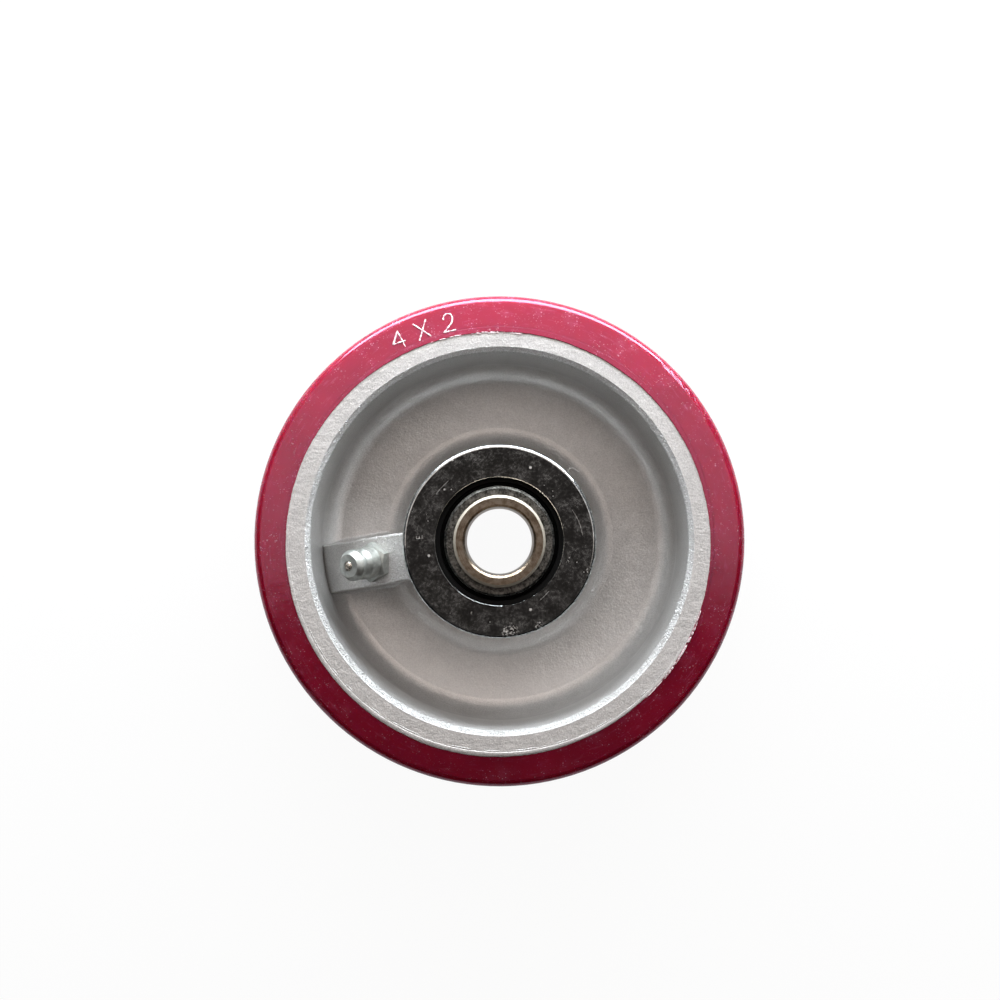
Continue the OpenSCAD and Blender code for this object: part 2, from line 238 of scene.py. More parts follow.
@dataclass(frozen=True)
class Zone:
    """Stretch of a distance that a mask covers, with soft ends, in metres.

    Attributes:
        rise: Where the mask begins and where it is full.
        fall: Where it starts to fade and where it has ended.
    """

    rise: tuple[float, float]
    fall: tuple[float, float]

    def mask(self, graph: Graph, distance: Socket) -> Socket:
        """Mask that is 1 where the distance lies in the zone."""
        return graph.times(graph.ramp(distance, *self.rise), graph.ramp(distance, *self.fall, 1.0, 0.0))


@dataclass(frozen=True)
class Finish:
    """Procedural finish of a surface, in object coordinates.

    Attributes:
        name: Name of the material.
        colour: Main colour, linear.
        roughness: Roughness where nothing has marked the surface.
        metallic: Share of bare metal.
    """

    name: str
    colour: Colour
    roughness: float
    metallic: float = 0.0

    def build(self) -> bpy.types.Material:
        """Makes the material.

        Returns:
            The new material.
        """
        material = bpy.data.materials.new(self.name)
        material.use_nodes = True
        graph = Graph(material.node_tree)
        plain = {"Metallic": self.metallic, "Roughness": self.roughness}
        shader = graph.add("ShaderNodeBsdfPrincipled", plain)
        where = graph.add("ShaderNodeTexCoord").outputs["Object"]
        for name, value in self.dress(graph, where).items():
            graph.feed(shader.inputs[name], value)
        graph.add("ShaderNodeOutputMaterial", {"Surface": shader.outputs[0]})
        return material

    def dress(self, graph: Graph, where: Socket) -> dict[str, object]:
        """Value or socket for each of the shader's inputs that the finish sets, from object coordinates."""
        return {"Base Color": rgba(self.colour)}

    @staticmethod
    def corner_mask(graph: Graph, reach: float, low: float, high: float) -> Socket:
        """Mask of painted shade in the piece's own inner corners, full at the low openness and gone at the
        high one.
        """
        open_share = graph.add("ShaderNodeAmbientOcclusion", {"Distance": reach}, only_local=True, samples=6)
        return graph.ramp(open_share.outputs["AO"], low, high, 1.0, 0.0)

    @staticmethod
    def polar(graph: Graph, where: Socket) -> tuple[Socket, Socket]:
        """Place round the wheel's axis.

        Args:
            graph: Tree of the material.
            where: Object coordinates.

        Returns:
            Distance from the axis and angle round it.
        """
        x, y, _ = graph.separate(where)
        square = graph.plus(graph.times(x, x), graph.times(y, y))
        return graph.math("SQRT", square), graph.math("ARCTAN2", y, x)

    @staticmethod
    def off_mid_plane(graph: Graph, height: Socket) -> Socket:
        """Distance from the wheel's mid-plane, from a height."""
        return graph.math("ABSOLUTE", graph.minus(height, Sizes.mid_z))

    @staticmethod
    def specks(graph: Graph, where: Socket, scale: float, size: float) -> Socket:
        """Mask of scattered round specks.

        Args:
            graph: Tree of the material.
            where: Coordinates.
            scale: Cells a metre, with one speck in each cell at most.
            size: Radius of a speck, as a share of a cell.

        Returns:
            Socket that is 1 inside a speck.
        """
        cell = graph.add("ShaderNodeTexVoronoi", {"Vector": where, "Scale": scale, "Randomness": 1.0})
        chance = graph.add("ShaderNodeSeparateColor", {0: cell.outputs["Color"]}).outputs[0]
        radius = graph.times(graph.math("POWER", chance, 6.0), size)
        return graph.math("LESS_THAN", cell.outputs["Distance"], radius)


@dataclass(frozen=True)
class SilverPaint(Finish):
    """Aluminium paint sprayed on a sand casting.

    Attributes:
        grain: Cells of the cast grain in a metre.
        grain_depth: Depth of the grain.
        rough_depth: Depth that is added where the casting was left rough, on the bevel and on the rib.
        swell_depth: Depth of the casting's broad swells.
        glint: Colour of the pale specks on rough spots, which are painted highlights.
        grime: Colour of the dirt scattered over the paint.
        corner_grime: Colour of the painted shade in corners.
        thin: Colour towards which the paint is darkened as painted shade.
        thick: Colour towards which it is lightened as painted light.
        wall: Distances from the axis that the rim's steep inner wall takes up.
        bevel: Distances from the axis that the rim's bevel takes up.
        rough_bevel: Distances from the axis at which the casting is rough round the bevel.
        rough_rib: Heights at which the rib's top is rough.
    """

    grain: float = 2300.0
    grain_depth: float = 0.08 * MM
    rough_depth: float = 0.3 * MM
    swell_depth: float = 0.08 * MM
    glint: Colour = (0.88, 0.88, 0.88)
    grime: Colour = (0.20, 0.17, 0.15)
    corner_grime: Colour = (0.16, 0.145, 0.13)
    thin: Colour = (0.30, 0.30, 0.29)
    thick: Colour = (0.95, 0.94, 0.93)
    wall: Zone = Zone((34.5 * MM, 37.2 * MM), (39.1 * MM, 39.4 * MM))
    bevel: Zone = Zone((38.9 * MM, 39.2 * MM), (40.1 * MM, 40.3 * MM))
    rough_bevel: Zone = Zone((37.4 * MM, 39.2 * MM), (40.0 * MM, 40.4 * MM))
    rough_rib: Zone = Zone((35.0 * MM, 37.0 * MM), (49.5 * MM, 50.0 * MM))

    def dress(self, graph: Graph, where: Socket) -> dict[str, object]:
        """Speckled silver over a cast grain, with painted highlight specks, painted shade in corners and
        painted shade and light by place.

        Args:
            graph: Tree of the material.
            where: Object coordinates.

        Returns:
            What the finish sets on the shader.
        """
        rough_zone = self.rough_zone(graph, where)
        flakes = graph.noise(where, 4200.0, 3.0, 0.75)
        clouds = graph.noise(where, 240.0, 4.0, 0.6)
        tone = graph.plus(graph.ramp(flakes, 0.3, 0.7, -0.5, 0.5), graph.ramp(clouds, 0.3, 0.7, -0.14, 0.14))
        tone = graph.plus(tone, 0.5, clamp=True)
        colour = graph.mix(tone, rgba(self.colour, 0.80), rgba(self.colour, 1.18))
        # Pale specks on the bevel and on the rib's top are painted highlights.
        painted_glints = graph.ramp(graph.noise(where, 2700.0, 2.0), 0.50, 0.62)
        colour = graph.mix(graph.times(painted_glints, rough_zone), colour, rgba(self.glint))
        grime = graph.ramp(graph.noise(where, 1300.0, 4.0, 0.7), 0.66, 0.76, 0.0, 0.30)
        colour = graph.mix(grime, colour, rgba(self.grime))
        # Painted shade and painted light by place: darker on the walls, the bevel towards -Y, the fillet's
        # foot and the pocket towards +Y, lighter in the pocket towards -Y.
        thin, thick = self.coat(graph, where)
        colour = graph.mix(thin, colour, rgba(self.thin))
        colour = graph.mix(thick, colour, rgba(self.thick))
        # Darkening in the piece's own corners is painted shade.
        corner = graph.times(self.corner_mask(graph, 1.2 * MM, 0.30, 0.62), 0.6)
        colour = graph.mix(corner, colour, rgba(self.corner_grime))
        swells = graph.bump(graph.noise(where, 700.0, 3.0), self.swell_depth)
        depth = graph.plus(graph.times(rough_zone, self.rough_depth), self.grain_depth)
        relief = graph.bump(graph.noise(where, self.grain, 4.0, 0.65), depth, swells)
        rough = graph.ramp(flakes, 0.3, 0.7, self.roughness - 0.08, self.roughness + 0.08)
        return {"Base Color": colour, "Roughness": rough, "Normal": relief}

    def rough_zone(self, graph: Graph, where: Socket) -> Socket:
        """Mask of the rim's bevel and of the rib's top near the hub.

        Args:
            graph: Tree of the material.
            where: Object coordinates.

        Returns:
            Share of the rough grain.
        """
        radius, _ = self.polar(graph, where)
        height = graph.separate(where)[2]
        near_hub = graph.ramp(radius, 25.5 * MM, 33.5 * MM, 1.0, 0.0)
        rib = graph.times(self.rough_rib.mask(graph, height), near_hub, 0.6)
        return graph.highest(self.rough_bevel.mask(graph, radius), rib)

    def coat(self, graph: Graph, where: Socket) -> tuple[Socket, Socket]:
        """Shares by which the paint is darkened as painted shade and lightened as painted light.

        Args:
            graph: Tree of the material.
            where: Object coordinates.

        Returns:
            Share of painted shade, on the rim's steep walls, on the bevel towards -Y, in the fillet at the
            walls' foot and towards +Y in the pocket, and share of painted light, towards -Y in the pocket.
        """
        radius, _ = self.polar(graph, where)
        _, y, z = graph.separate(where)
        height = self.off_mid_plane(graph, z)
        # Painted shade on the rim's steep walls.
        steep = graph.ramp(height, 6.0 * MM, 10.0 * MM, 0.0, 0.58)
        wall = graph.times(self.wall.mask(graph, radius), steep)
        # Painted shade on the bevel towards -Y.
        bevel_shade = graph.ramp(y, -30.0 * MM, 20.0 * MM, 0.55, 0.0)
        bevel = graph.times(self.bevel.mask(graph, radius), bevel_shade)
        low = graph.ramp(height, 10.0 * MM, 16.0 * MM, 1.0, 0.0)
        pocket = graph.times(graph.ramp(radius, 36.5 * MM, 38.5 * MM, 1.0, 0.0), low)
        # Painted shade in the pocket towards +Y and painted light in it towards -Y.
        far = graph.times(pocket, graph.ramp(y, -34.0 * MM, 34.0 * MM, 0.0, 0.42))
        near = graph.times(pocket, graph.ramp(y, -34.0 * MM, -8.0 * MM, 0.6, 0.0))
        # Painted shade in the fillet at the walls' foot.
        shade = graph.ramp(height, 8.0 * MM, 12.0 * MM, 0.40, 0.0)
        foot = graph.times(graph.ramp(radius, 32.5 * MM, 35.5 * MM), shade)
        return graph.highest(wall, bevel, far, foot), graph.times(near, graph.ramp(foot, 0.0, 0.3, 1.0, 0.0))


@dataclass(frozen=True)
class Urethane(Finish):
    """Glossy maroon urethane with dust on it.

    Attributes:
        haze: Colour of the rubbed film.
        dust: Colour of the dust.
        scatter: Share of the light that wanders inside, which is none where the urethane is a film.
    """

    haze: Colour = (0.62, 0.21, 0.36)
    dust: Colour = (0.82, 0.58, 0.64)
    scatter: float = 0.8

    def dress(self, graph: Graph, where: Socket) -> dict[str, object]:
        """Deep red with a cloudy film, dust specks and rubbed streaks.

        Args:
            graph: Tree of the material.
            where: Object coordinates.

        Returns:
            What the finish sets on the shader.
        """
        clouds = graph.noise(where, 260.0, 5.0, 0.65)
        film = graph.ramp(clouds, 0.50, 0.80, 0.0, 0.10)
        coarse = self.specks(graph, where, 1500.0, 0.30)
        specks = graph.highest(coarse, self.specks(graph, where, 3800.0, 0.50))
        rubs = graph.ramp(graph.noise(self.streaked(graph, where), 60.0, 4.0, 0.7), 0.56, 0.70, 0.0, 0.12)
        veil = graph.plus(film, rubs, clamp=True)
        depth = graph.ramp(graph.noise(where, 90.0, 2.0), 0.3, 0.7)
        body = graph.mix(depth, rgba(self.colour, 0.86), rgba(self.colour))
        colour = graph.mix(veil, body, rgba(self.haze))
        faint = graph.times(specks, graph.ramp(clouds, 0.38, 0.72, 0.04, 0.32))
        colour = graph.mix(faint, colour, rgba(self.dust))
        rough = graph.ramp(clouds, 0.35, 0.7, self.roughness, self.roughness + 0.10)
        rough = graph.plus(rough, graph.times(graph.plus(veil, faint), 0.4), clamp=True)
        swell = graph.bump(graph.noise(where, 150.0, 2.0), 0.08 * MM)
        ripple = graph.bump(graph.noise(where, 1500.0, 3.0), 0.012 * MM, swell)
        return {
            "Base Color": colour,
            "Roughness": rough,
            "Normal": ripple,
            "Subsurface Weight": self.scatter,
            "Subsurface Radius": (1.0, 0.08, 0.18),
            "Subsurface Scale": 6.0 * MM,
            "Specular IOR Level": 0.75,
            "Specular Tint": (1.0, 0.72, 1.0, 1.0),
        }

    @staticmethod
    def streaked(graph: Graph, where: Socket) -> Socket:
        """Coordinates that stretch a noise round the wheel.

        Args:
            graph: Tree of the material.
            where: Object coordinates.

        Returns:
            Socket of the stretched coordinates.
        """
        radius, angle = Finish.polar(graph, where)
        height = graph.separate(where)[2]
        return graph.combine(graph.times(radius, 30.0), graph.times(angle, 0.2), graph.times(height, 12.0))


@dataclass(frozen=True)
class PlatedZinc(Finish):
    """Zinc plate with a fine spangle.

    Attributes:
        mottle: Cells of the spangle in a metre.
        mottle_depth: Depth of the spangle.
        spread: How much rougher the dull cells are.
        grime_reach: How far painted shade spreads from the piece's inner corners, or 0 where none is painted.
        grime: Colour of the painted shade in corners.
        worn: Colour of the marks and of the painted highlight on a rounded edge.
    """

    mottle: float = 1500.0
    mottle_depth: float = 0.003 * MM
    spread: float = 0.12
    grime_reach: float = 0.0
    grime: Colour = (0.17, 0.17, 0.155)
    worn: Colour = (0.92, 0.91, 0.88)

    def dress(self, graph: Graph, where: Socket) -> dict[str, object]:
        """Fine light and dark mottling in colour, gloss and relief.

        Args:
            graph: Tree of the material.
            where: Object coordinates.

        Returns:
            What the finish sets on the shader.
        """
        mottled = graph.noise(where, self.mottle, 5.0, 0.7)
        blotch = graph.noise(where, 0.25 * self.mottle, 3.0)
        mixed = graph.plus(mottled, graph.times(blotch, 0.8))
        tone = graph.ramp(mixed, 0.65, 1.15)
        colour = graph.mix(tone, rgba(self.colour, 0.62), rgba(self.colour))
        rough = graph.ramp(mixed, 0.75, 1.15, self.roughness, self.roughness + self.spread)
        # Darkening in the piece's own corners is painted shade.
        if self.grime_reach:
            grime = graph.times(self.corner_mask(graph, self.grime_reach, 0.40, 0.85), 0.85)
            colour = graph.mix(grime, colour, rgba(self.grime))
        worn = self.marks(graph, where)
        if worn is not None:
            colour = graph.mix(graph.times(worn, 0.75), colour, rgba(self.worn))
            rough = graph.plus(rough, graph.times(worn, 0.35), clamp=True)
        return {"Base Color": colour, "Roughness": rough, "Normal": graph.bump(mottled, self.mottle_depth)}

    def marks(self, graph: Graph, where: Socket) -> Socket | None:
        """Mask of the marks on the plate, where it has any."""
        return None


@dataclass(frozen=True)
class HandledZinc(PlatedZinc):
    """Zinc plate marked by handling, with specks, fine curved scratches and scuffs at the edge, and a painted
    highlight on its rounded edge.

    Attributes:
        scratches: Centre, radius and middle point of the arc that each scratch is, and half its length.
        scuffs: Centre and radius of each scuffed patch.
        edge_r: Distance from the axis outside which the rounded edge is drawn lighter as a painted highlight.
    """

    scratches: tuple[tuple[float, float, float, float, float, float], ...] = (
        (5.5 * MM, -0.5 * MM, 11.8 * MM, 16.4 * MM, 3.8 * MM, 3.4 * MM),
        (0.0, 0.0, 16.3 * MM, -11.8 * MM, 11.2 * MM, 2.2 * MM),
        (-4.0 * MM, 2.0 * MM, 18.8 * MM, 9.2 * MM, -11.2 * MM, 1.6 * MM),
    )
    scuffs: tuple[tuple[float, float, float], ...] = (
        (2.3 * MM, -18.8 * MM, 2.2 * MM),
        (8.1 * MM, -17.3 * MM, 1.0 * MM),
        (-16.5 * MM, 0.7 * MM, 0.9 * MM),
        (14.1 * MM, -4.1 * MM, 0.4 * MM),
        (-5.7 * MM, -14.8 * MM, 0.4 * MM),
        (18.6 * MM, -6.0 * MM, 0.9 * MM),
    )
    edge_r: float = 19.7 * MM

    def marks(self, graph: Graph, where: Socket) -> Socket | None:
        """Mask of specks, scratches and scuffs together with the painted highlight on the rounded edge.

        Args:
            graph: Tree of the material.
            where: Object coordinates.

        Returns:
            Share by which the plate is marked.
        """
        x, y, _ = graph.separate(where)
        flat = graph.combine(x, y, 0.0)
        total = graph.times(self.specks(graph, where, 620.0, 0.20), 0.8)
        for cx, cy, radius, px, py, half in self.scratches:
            off = graph.minus(graph.vector("DISTANCE", flat, (cx, cy, 0.0)), radius)
            wobble = graph.ramp(graph.noise(where, 900.0, 1.0), 0.0, 1.0, -0.05 * MM, 0.05 * MM)
            line = graph.ramp(graph.math("ABSOLUTE", graph.plus(off, wobble)), 0.02 * MM, 0.08 * MM, 1.0, 0.0)
            reach = graph.ramp(graph.vector("DISTANCE", flat, (px, py, 0.0)), 0.7 * half, half, 0.55, 0.0)
            total = graph.highest(total, graph.times(line, reach))
        rough = graph.ramp(graph.noise(where, 2300.0, 3.0, 0.7), 0.52, 0.60)
        for cx, cy, radius in self.scuffs:
            reach = graph.ramp(graph.vector("DISTANCE", flat, (cx, cy, 0.0)), 0.5 * radius, radius, 1.0, 0.0)
            total = graph.highest(total, graph.times(rough, reach))
        # The lighter ring at the rounded edge is a painted highlight.
        edge = graph.ramp(graph.vector("LENGTH", flat), self.edge_r, self.edge_r + 0.3 * MM, 0.0, 0.38)
        return graph.highest(total, edge)


@dataclass(frozen=True)
class TurnedSteel(Finish):
    """Steel with the fine rings that a lathe or a grinder leaves round the axis.

    Attributes:
        rings: Rings in a metre.
        ring_depth: Depth of the rings.
        stain: Colour of the stains.
        worn_r: Distance from the axis outside which the chamfered ends are drawn lighter as a painted
            highlight, or 0.
        worn_z: Distance from the mid-plane beyond which the painted highlight lies.
        worn: Colour of the painted highlight.
    """

    rings: float = 9000.0
    ring_depth: float = 0.001 * MM
    stain: Colour = (0.16, 0.11, 0.07)
    worn_r: float = 0.0
    worn_z: float = 0.0
    worn: Colour = (0.46, 0.42, 0.35)

    def dress(self, graph: Graph, where: Socket) -> dict[str, object]:
        """Rings in the bump, light stains in the colour and a painted highlight on the chamfered ends.

        Args:
            graph: Tree of the material.
            where: Object coordinates.

        Returns:
            What the finish sets on the shader.
        """
        radius, _ = self.polar(graph, where)
        height = graph.separate(where)[2]
        ringed = {"W": graph.plus(radius, height), "Scale": self.rings, "Detail": 2.0}
        line = graph.add("ShaderNodeTexNoise", ringed, noise_dimensions="1D").outputs[0]
        stains = graph.ramp(graph.noise(where, 750.0, 5.0, 0.7), 0.38, 0.66, 0.0, 0.75)
        colour = graph.mix(stains, rgba(self.colour), rgba(self.stain))
        rough = graph.ramp(line, 0.3, 0.7, self.roughness - 0.05, self.roughness + 0.08)
        values = {"Base Color": colour, "Roughness": rough, "Normal": graph.bump(line, self.ring_depth)}
        # The lighter chamfered ends are a painted highlight.
        if self.worn_r:
            soft = 0.05 * MM
            outer = graph.ramp(radius, self.worn_r, self.worn_r + soft)
            ends = graph.ramp(self.off_mid_plane(graph, height), self.worn_z, self.worn_z + soft)
            worn = graph.times(outer, ends)
            values["Base Color"] = graph.mix(worn, colour, rgba(self.worn))
            values["Roughness"] = graph.plus(rough, graph.times(worn, 0.28))
            values["Metallic"] = graph.ramp(worn, 0.0, 1.0, self.metallic, 0.55)
        return values


@dataclass(frozen=True)
class MottledSteel(Finish):
    """Dull grey steel with a crust of old grease and dust."""

    def dress(self, graph: Graph, where: Socket) -> dict[str, object]:
        """Light and dark specks over a rough skin.

        Args:
            graph: Tree of the material.
            where: Object coordinates.

        Returns:
            What the finish sets on the shader.
        """
        crust = graph.noise(where, 2600.0, 4.0, 0.7)
        patches = graph.noise(where, 600.0, 2.0)
        tone = graph.ramp(graph.plus(crust, graph.times(patches, 0.4)), 0.55, 0.9)
        colour = graph.mix(tone, rgba(self.colour, 0.18), rgba(self.colour))
        rough = graph.ramp(crust, 0.3, 0.7, self.roughness - 0.1, self.roughness + 0.15)
        return {"Base Color": colour, "Roughness": rough, "Normal": graph.bump(crust, 0.06 * MM)}


@dataclass(frozen=True)
class Rubber(Finish):
    """Black moulded rubber with a little dust.

    Attributes:
        dust: Colour of the dust.
    """

    dust: Colour = (0.20, 0.19, 0.18)

    def dress(self, graph: Graph, where: Socket) -> dict[str, object]:
        """Matt black with faint grey dust and a fine skin.

        Args:
            graph: Tree of the material.
            where: Object coordinates.

        Returns:
            What the finish sets on the shader.
        """
        dust = graph.ramp(graph.noise(where, 1100.0, 4.0, 0.7), 0.60, 0.80, 0.0, 0.05)
        colour = graph.mix(dust, rgba(self.colour), rgba(self.dust))
        skin = graph.noise(where, 3000.0, 2.0)
        return {"Base Color": colour, "Specular IOR Level": 0.12, "Normal": graph.bump(skin, 0.01 * MM)}


@dataclass(frozen=True)
class BrushedSteel(Finish):
    """Pressed steel with drawn lines along the axis.

    Attributes:
        grease: Colour of the grease on it.
    """

    grease: Colour = (0.20, 0.13, 0.05)

    def dress(self, graph: Graph, where: Socket) -> dict[str, object]:
        """Lines along Z and a film of grease.

        Args:
            graph: Tree of the material.
            where: Object coordinates.

        Returns:
            What the finish sets on the shader.
        """
        lines = graph.noise(graph.vector("MULTIPLY", where, (5200.0, 5200.0, 120.0)), 1.0, 2.0)
        grease = graph.ramp(graph.noise(where, 380.0, 3.0), 0.45, 0.7, 0.0, 0.55)
        colour = graph.mix(grease, rgba(self.colour), rgba(self.grease))
        rough = graph.ramp(lines, 0.3, 0.7, self.roughness - 0.08, self.roughness + 0.12)
        return {"Base Color": colour, "Roughness": rough, "Normal": graph.bump(lines, 0.01 * MM)}


@dataclass(frozen=True)
class WhitenedUrethane(Finish):
    """Raised urethane in a pale, nearly white colour with patches of bare red.

    Attributes:
        bare: Colour of the bare red patches.
    """

    bare: Colour = (0.42, 0.03, 0.08)

    def dress(self, graph: Graph, where: Socket) -> dict[str, object]:
        """Pale white with patches of the bare red.

        Args:
            graph: Tree of the material.
            where: Object coordinates.

        Returns:
            What the finish sets on the shader.
        """
        worn = graph.ramp(graph.noise(where, 2400.0, 3.0, 0.6), 0.50, 0.66, 0.0, 0.75)
        colour = graph.mix(worn, rgba(self.colour), rgba(self.bare))
        return {"Base Color": colour, "Normal": graph.bump(graph.noise(where, 3800.0, 2.0), 0.03 * MM)}


@dataclass(frozen=True)
class Fibre(Finish):
    """A pale textile fibre."""

    def dress(self, graph: Graph, where: Socket) -> dict[str, object]:
        """Uneven pale thread."""
        tone = graph.ramp(graph.noise(where, 4000.0, 2.0), 0.3, 0.7)
        return {"Base Color": graph.mix(tone, rgba(self.colour, 0.6), rgba(self.colour))}


class Finishes:
    """The finishes of the wheel, each made once."""

    def __init__(self) -> None:
        """Makes every material."""
        plate: Colour = (0.60, 0.625, 0.63)
        # The nipple's plate gets painted shade in its own corners.
        nipple_plate = PlatedZinc(
            "nipple_plate",
            (0.54, 0.56, 0.53),
            0.38,
            0.70,
            mottle=900.0,
            mottle_depth=0.002 * MM,
            spread=0.10,
            grime_reach=0.7 * MM,
        )
        # The bushing's chamfered ends get a painted highlight.
        ground_steel = TurnedSteel(
            "ground_steel", (0.41, 0.335, 0.26), 0.32, 1.0, worn_r=9.0 * MM, worn_z=27.25 * MM
        )
        polished_steel = TurnedSteel(
            "polished_steel", (0.66, 0.66, 0.65), 0.14, 1.0, rings=14000.0, ring_depth=0.0005 * MM
        )
        self.paint = SilverPaint("sprayed_silver", (0.72, 0.71, 0.70), 0.40, 0.66).build()
        # A lighter copy of the paint, whose pale tone is a painted highlight on grit and on the ridge.
        self.glint_paint = SilverPaint("glint_paint", (0.84, 0.84, 0.84), 0.30, 0.5).build()
        self.urethane = Urethane("maroon_urethane", (0.255, 0.004, 0.024), 0.13).build()
        self.film = Urethane("urethane_film", (0.20, 0.004, 0.022), 0.16, scatter=0.0).build()
        self.zinc = PlatedZinc("plain_zinc", plate, 0.11, 1.0).build()
        self.handled_zinc = HandledZinc("handled_zinc", plate, 0.11, 1.0).build()
        self.nipple_zinc = nipple_plate.build()
        self.ball = TurnedSteel("brown_ball_steel", (0.60, 0.56, 0.49), 0.22, 0.8, rings=6000.0).build()
        self.bushing = ground_steel.build()
        self.polished = polished_steel.build()
        self.collar = MottledSteel("greasy_steel", (0.20, 0.195, 0.18), 0.42, 1.0).build()
        self.cage = BrushedSteel("brushed_steel", (0.45, 0.44, 0.42), 0.36, 1.0).build()
        self.rubber = Rubber("seal_rubber", (0.003, 0.003, 0.003), 0.6).build()
        self.whitened = WhitenedUrethane("whitened_urethane", (0.78, 0.66, 0.68), 0.5).build()
        self.fibre = Fibre("lint_fibre", (0.75, 0.72, 0.68), 0.7).build()


class Tree:
    """Geometry Nodes tree with named inputs, which ends in plain meshes of one material."""

    def __init__(self, name: str, inputs: dict[str, float | int | Point]) -> None:
        """Starts the tree, whose last input is a material.

        Args:
            name: Name of the tree.
            inputs: First value of each other input, by its name.
        """
        tree = bpy.data.node_groups.new(name, "GeometryNodeTree")
        self.graph = Graph(tree)
        for way in ("INPUT", "OUTPUT"):
            tree.interface.new_socket("Geometry", in_out=way, socket_type="NodeSocketGeometry")
        self.sockets: dict[str, str] = {}
        for label, value in inputs.items():
            socket = tree.interface.new_socket(label, in_out="INPUT", socket_type=SOCKET_KINDS[type(value)])
            socket.default_value = value
            self.sockets[label] = socket.identifier
        socket = tree.interface.new_socket("Material", in_out="INPUT", socket_type="NodeSocketMaterial")
        self.sockets["Material"] = socket.identifier
        self.given = self.graph.add("NodeGroupInput").outputs

    def end(self, geometry: Socket) -> None:
        """Smooths, realizes and colours a geometry, and gives it to the output.

        Args:
            geometry: What the tree has made.
        """
        graph = self.graph
        smooth = graph.add("GeometryNodeSetShadeSmooth", {"Geometry": geometry})
        plain = graph.add("GeometryNodeRealizeInstances", {"Geometry": smooth.outputs[0]})
        inputs = {"Geometry": plain.outputs[0], "Material": self.given["Material"]}
        dressed = graph.add("GeometryNodeSetMaterial", inputs)
        graph.add("NodeGroupOutput", {0: dressed.outputs[0]})

    def apply(self, piece: bpy.types.Object, values: dict[str, object]) -> None:
        """Runs the tree on an object and keeps the result as its plain mesh.

        Args:
            piece: Object that holds the path or the surface.
            values: Value of each input that isn't left as it is.
        """
        modifier = piece.modifiers.new("shape", "NODES")
        modifier.node_group = self.graph.tree
        for label, value in values.items():
            modifier[self.sockets[label]] = value
        bpy.context.view_layer.update()
        shaped = piece.evaluated_get(bpy.context.evaluated_depsgraph_get())
        made = bpy.data.meshes.new_from_object(shaped)
        piece.modifiers.clear()
        piece.data = made


def bead_tree() -> Tree:
    """Tree that lays an uneven bead along a path of edges, sunk out of sight where it is patchy.

    Returns:
        The tree.
    """
    tree = Tree(
        "uneven_bead",
        {
            "Half width": 0.2 * MM,
            "Flatness": 1.0,
            "Step": 0.2 * MM,
            "Wobble": 0.0,
            "Grain": 1500.0,
            "Patchiness": 0.0,
            "Seed": 0.0,
        },
    )
    graph, given = tree.graph, tree.given
    path = graph.add("GeometryNodeMeshToCurve", {"Mesh": given["Geometry"]})
    steps = {"Curve": path.outputs[0], "Length": given["Step"]}
    even = graph.add("GeometryNodeResampleCurve", steps, mode="LENGTH")
    value, colour = graph.seeded_noise(given["Seed"], given["Grain"], Detail=3.0)
    centred = graph.vector("SUBTRACT", colour, (0.5, 0.5, 0.5))
    shift = graph.scale(graph.vector("MULTIPLY", centred, (2.0, 2.0, 0.0)), given["Wobble"])
    gone = graph.times(graph.ramp(value, 0.43, 0.53, 0.9, 0.0), given["Patchiness"])
    depth = graph.times(gone, given["Half width"], -1.0)
    offset = graph.vector("ADD", shift, graph.combine(0.0, 0.0, depth))
    moved = graph.add("GeometryNodeSetPosition", {"Geometry": even.outputs[0], "Offset": offset})
    profile = graph.add("GeometryNodeCurvePrimitiveCircle", {"Resolution": 8, "Radius": given["Half width"]})
    squash = graph.combine(1.0, given["Flatness"], 1.0)
    flat = graph.add("GeometryNodeTransform", {"Geometry": profile.outputs[0], "Scale": squash})
    facing = graph.add("GeometryNodeSetCurveNormal", {"Curve": moved.outputs[0]}, mode="Z_UP")
    sweep = {
        "Curve": facing.outputs[0],
        "Profile Curve": flat.outputs[0],
        "Scale": graph.minus(1.0, gone),
        "Fill Caps": True,
    }
    tree.end(graph.add("GeometryNodeCurveToMesh", sweep).outputs[0])
    return tree


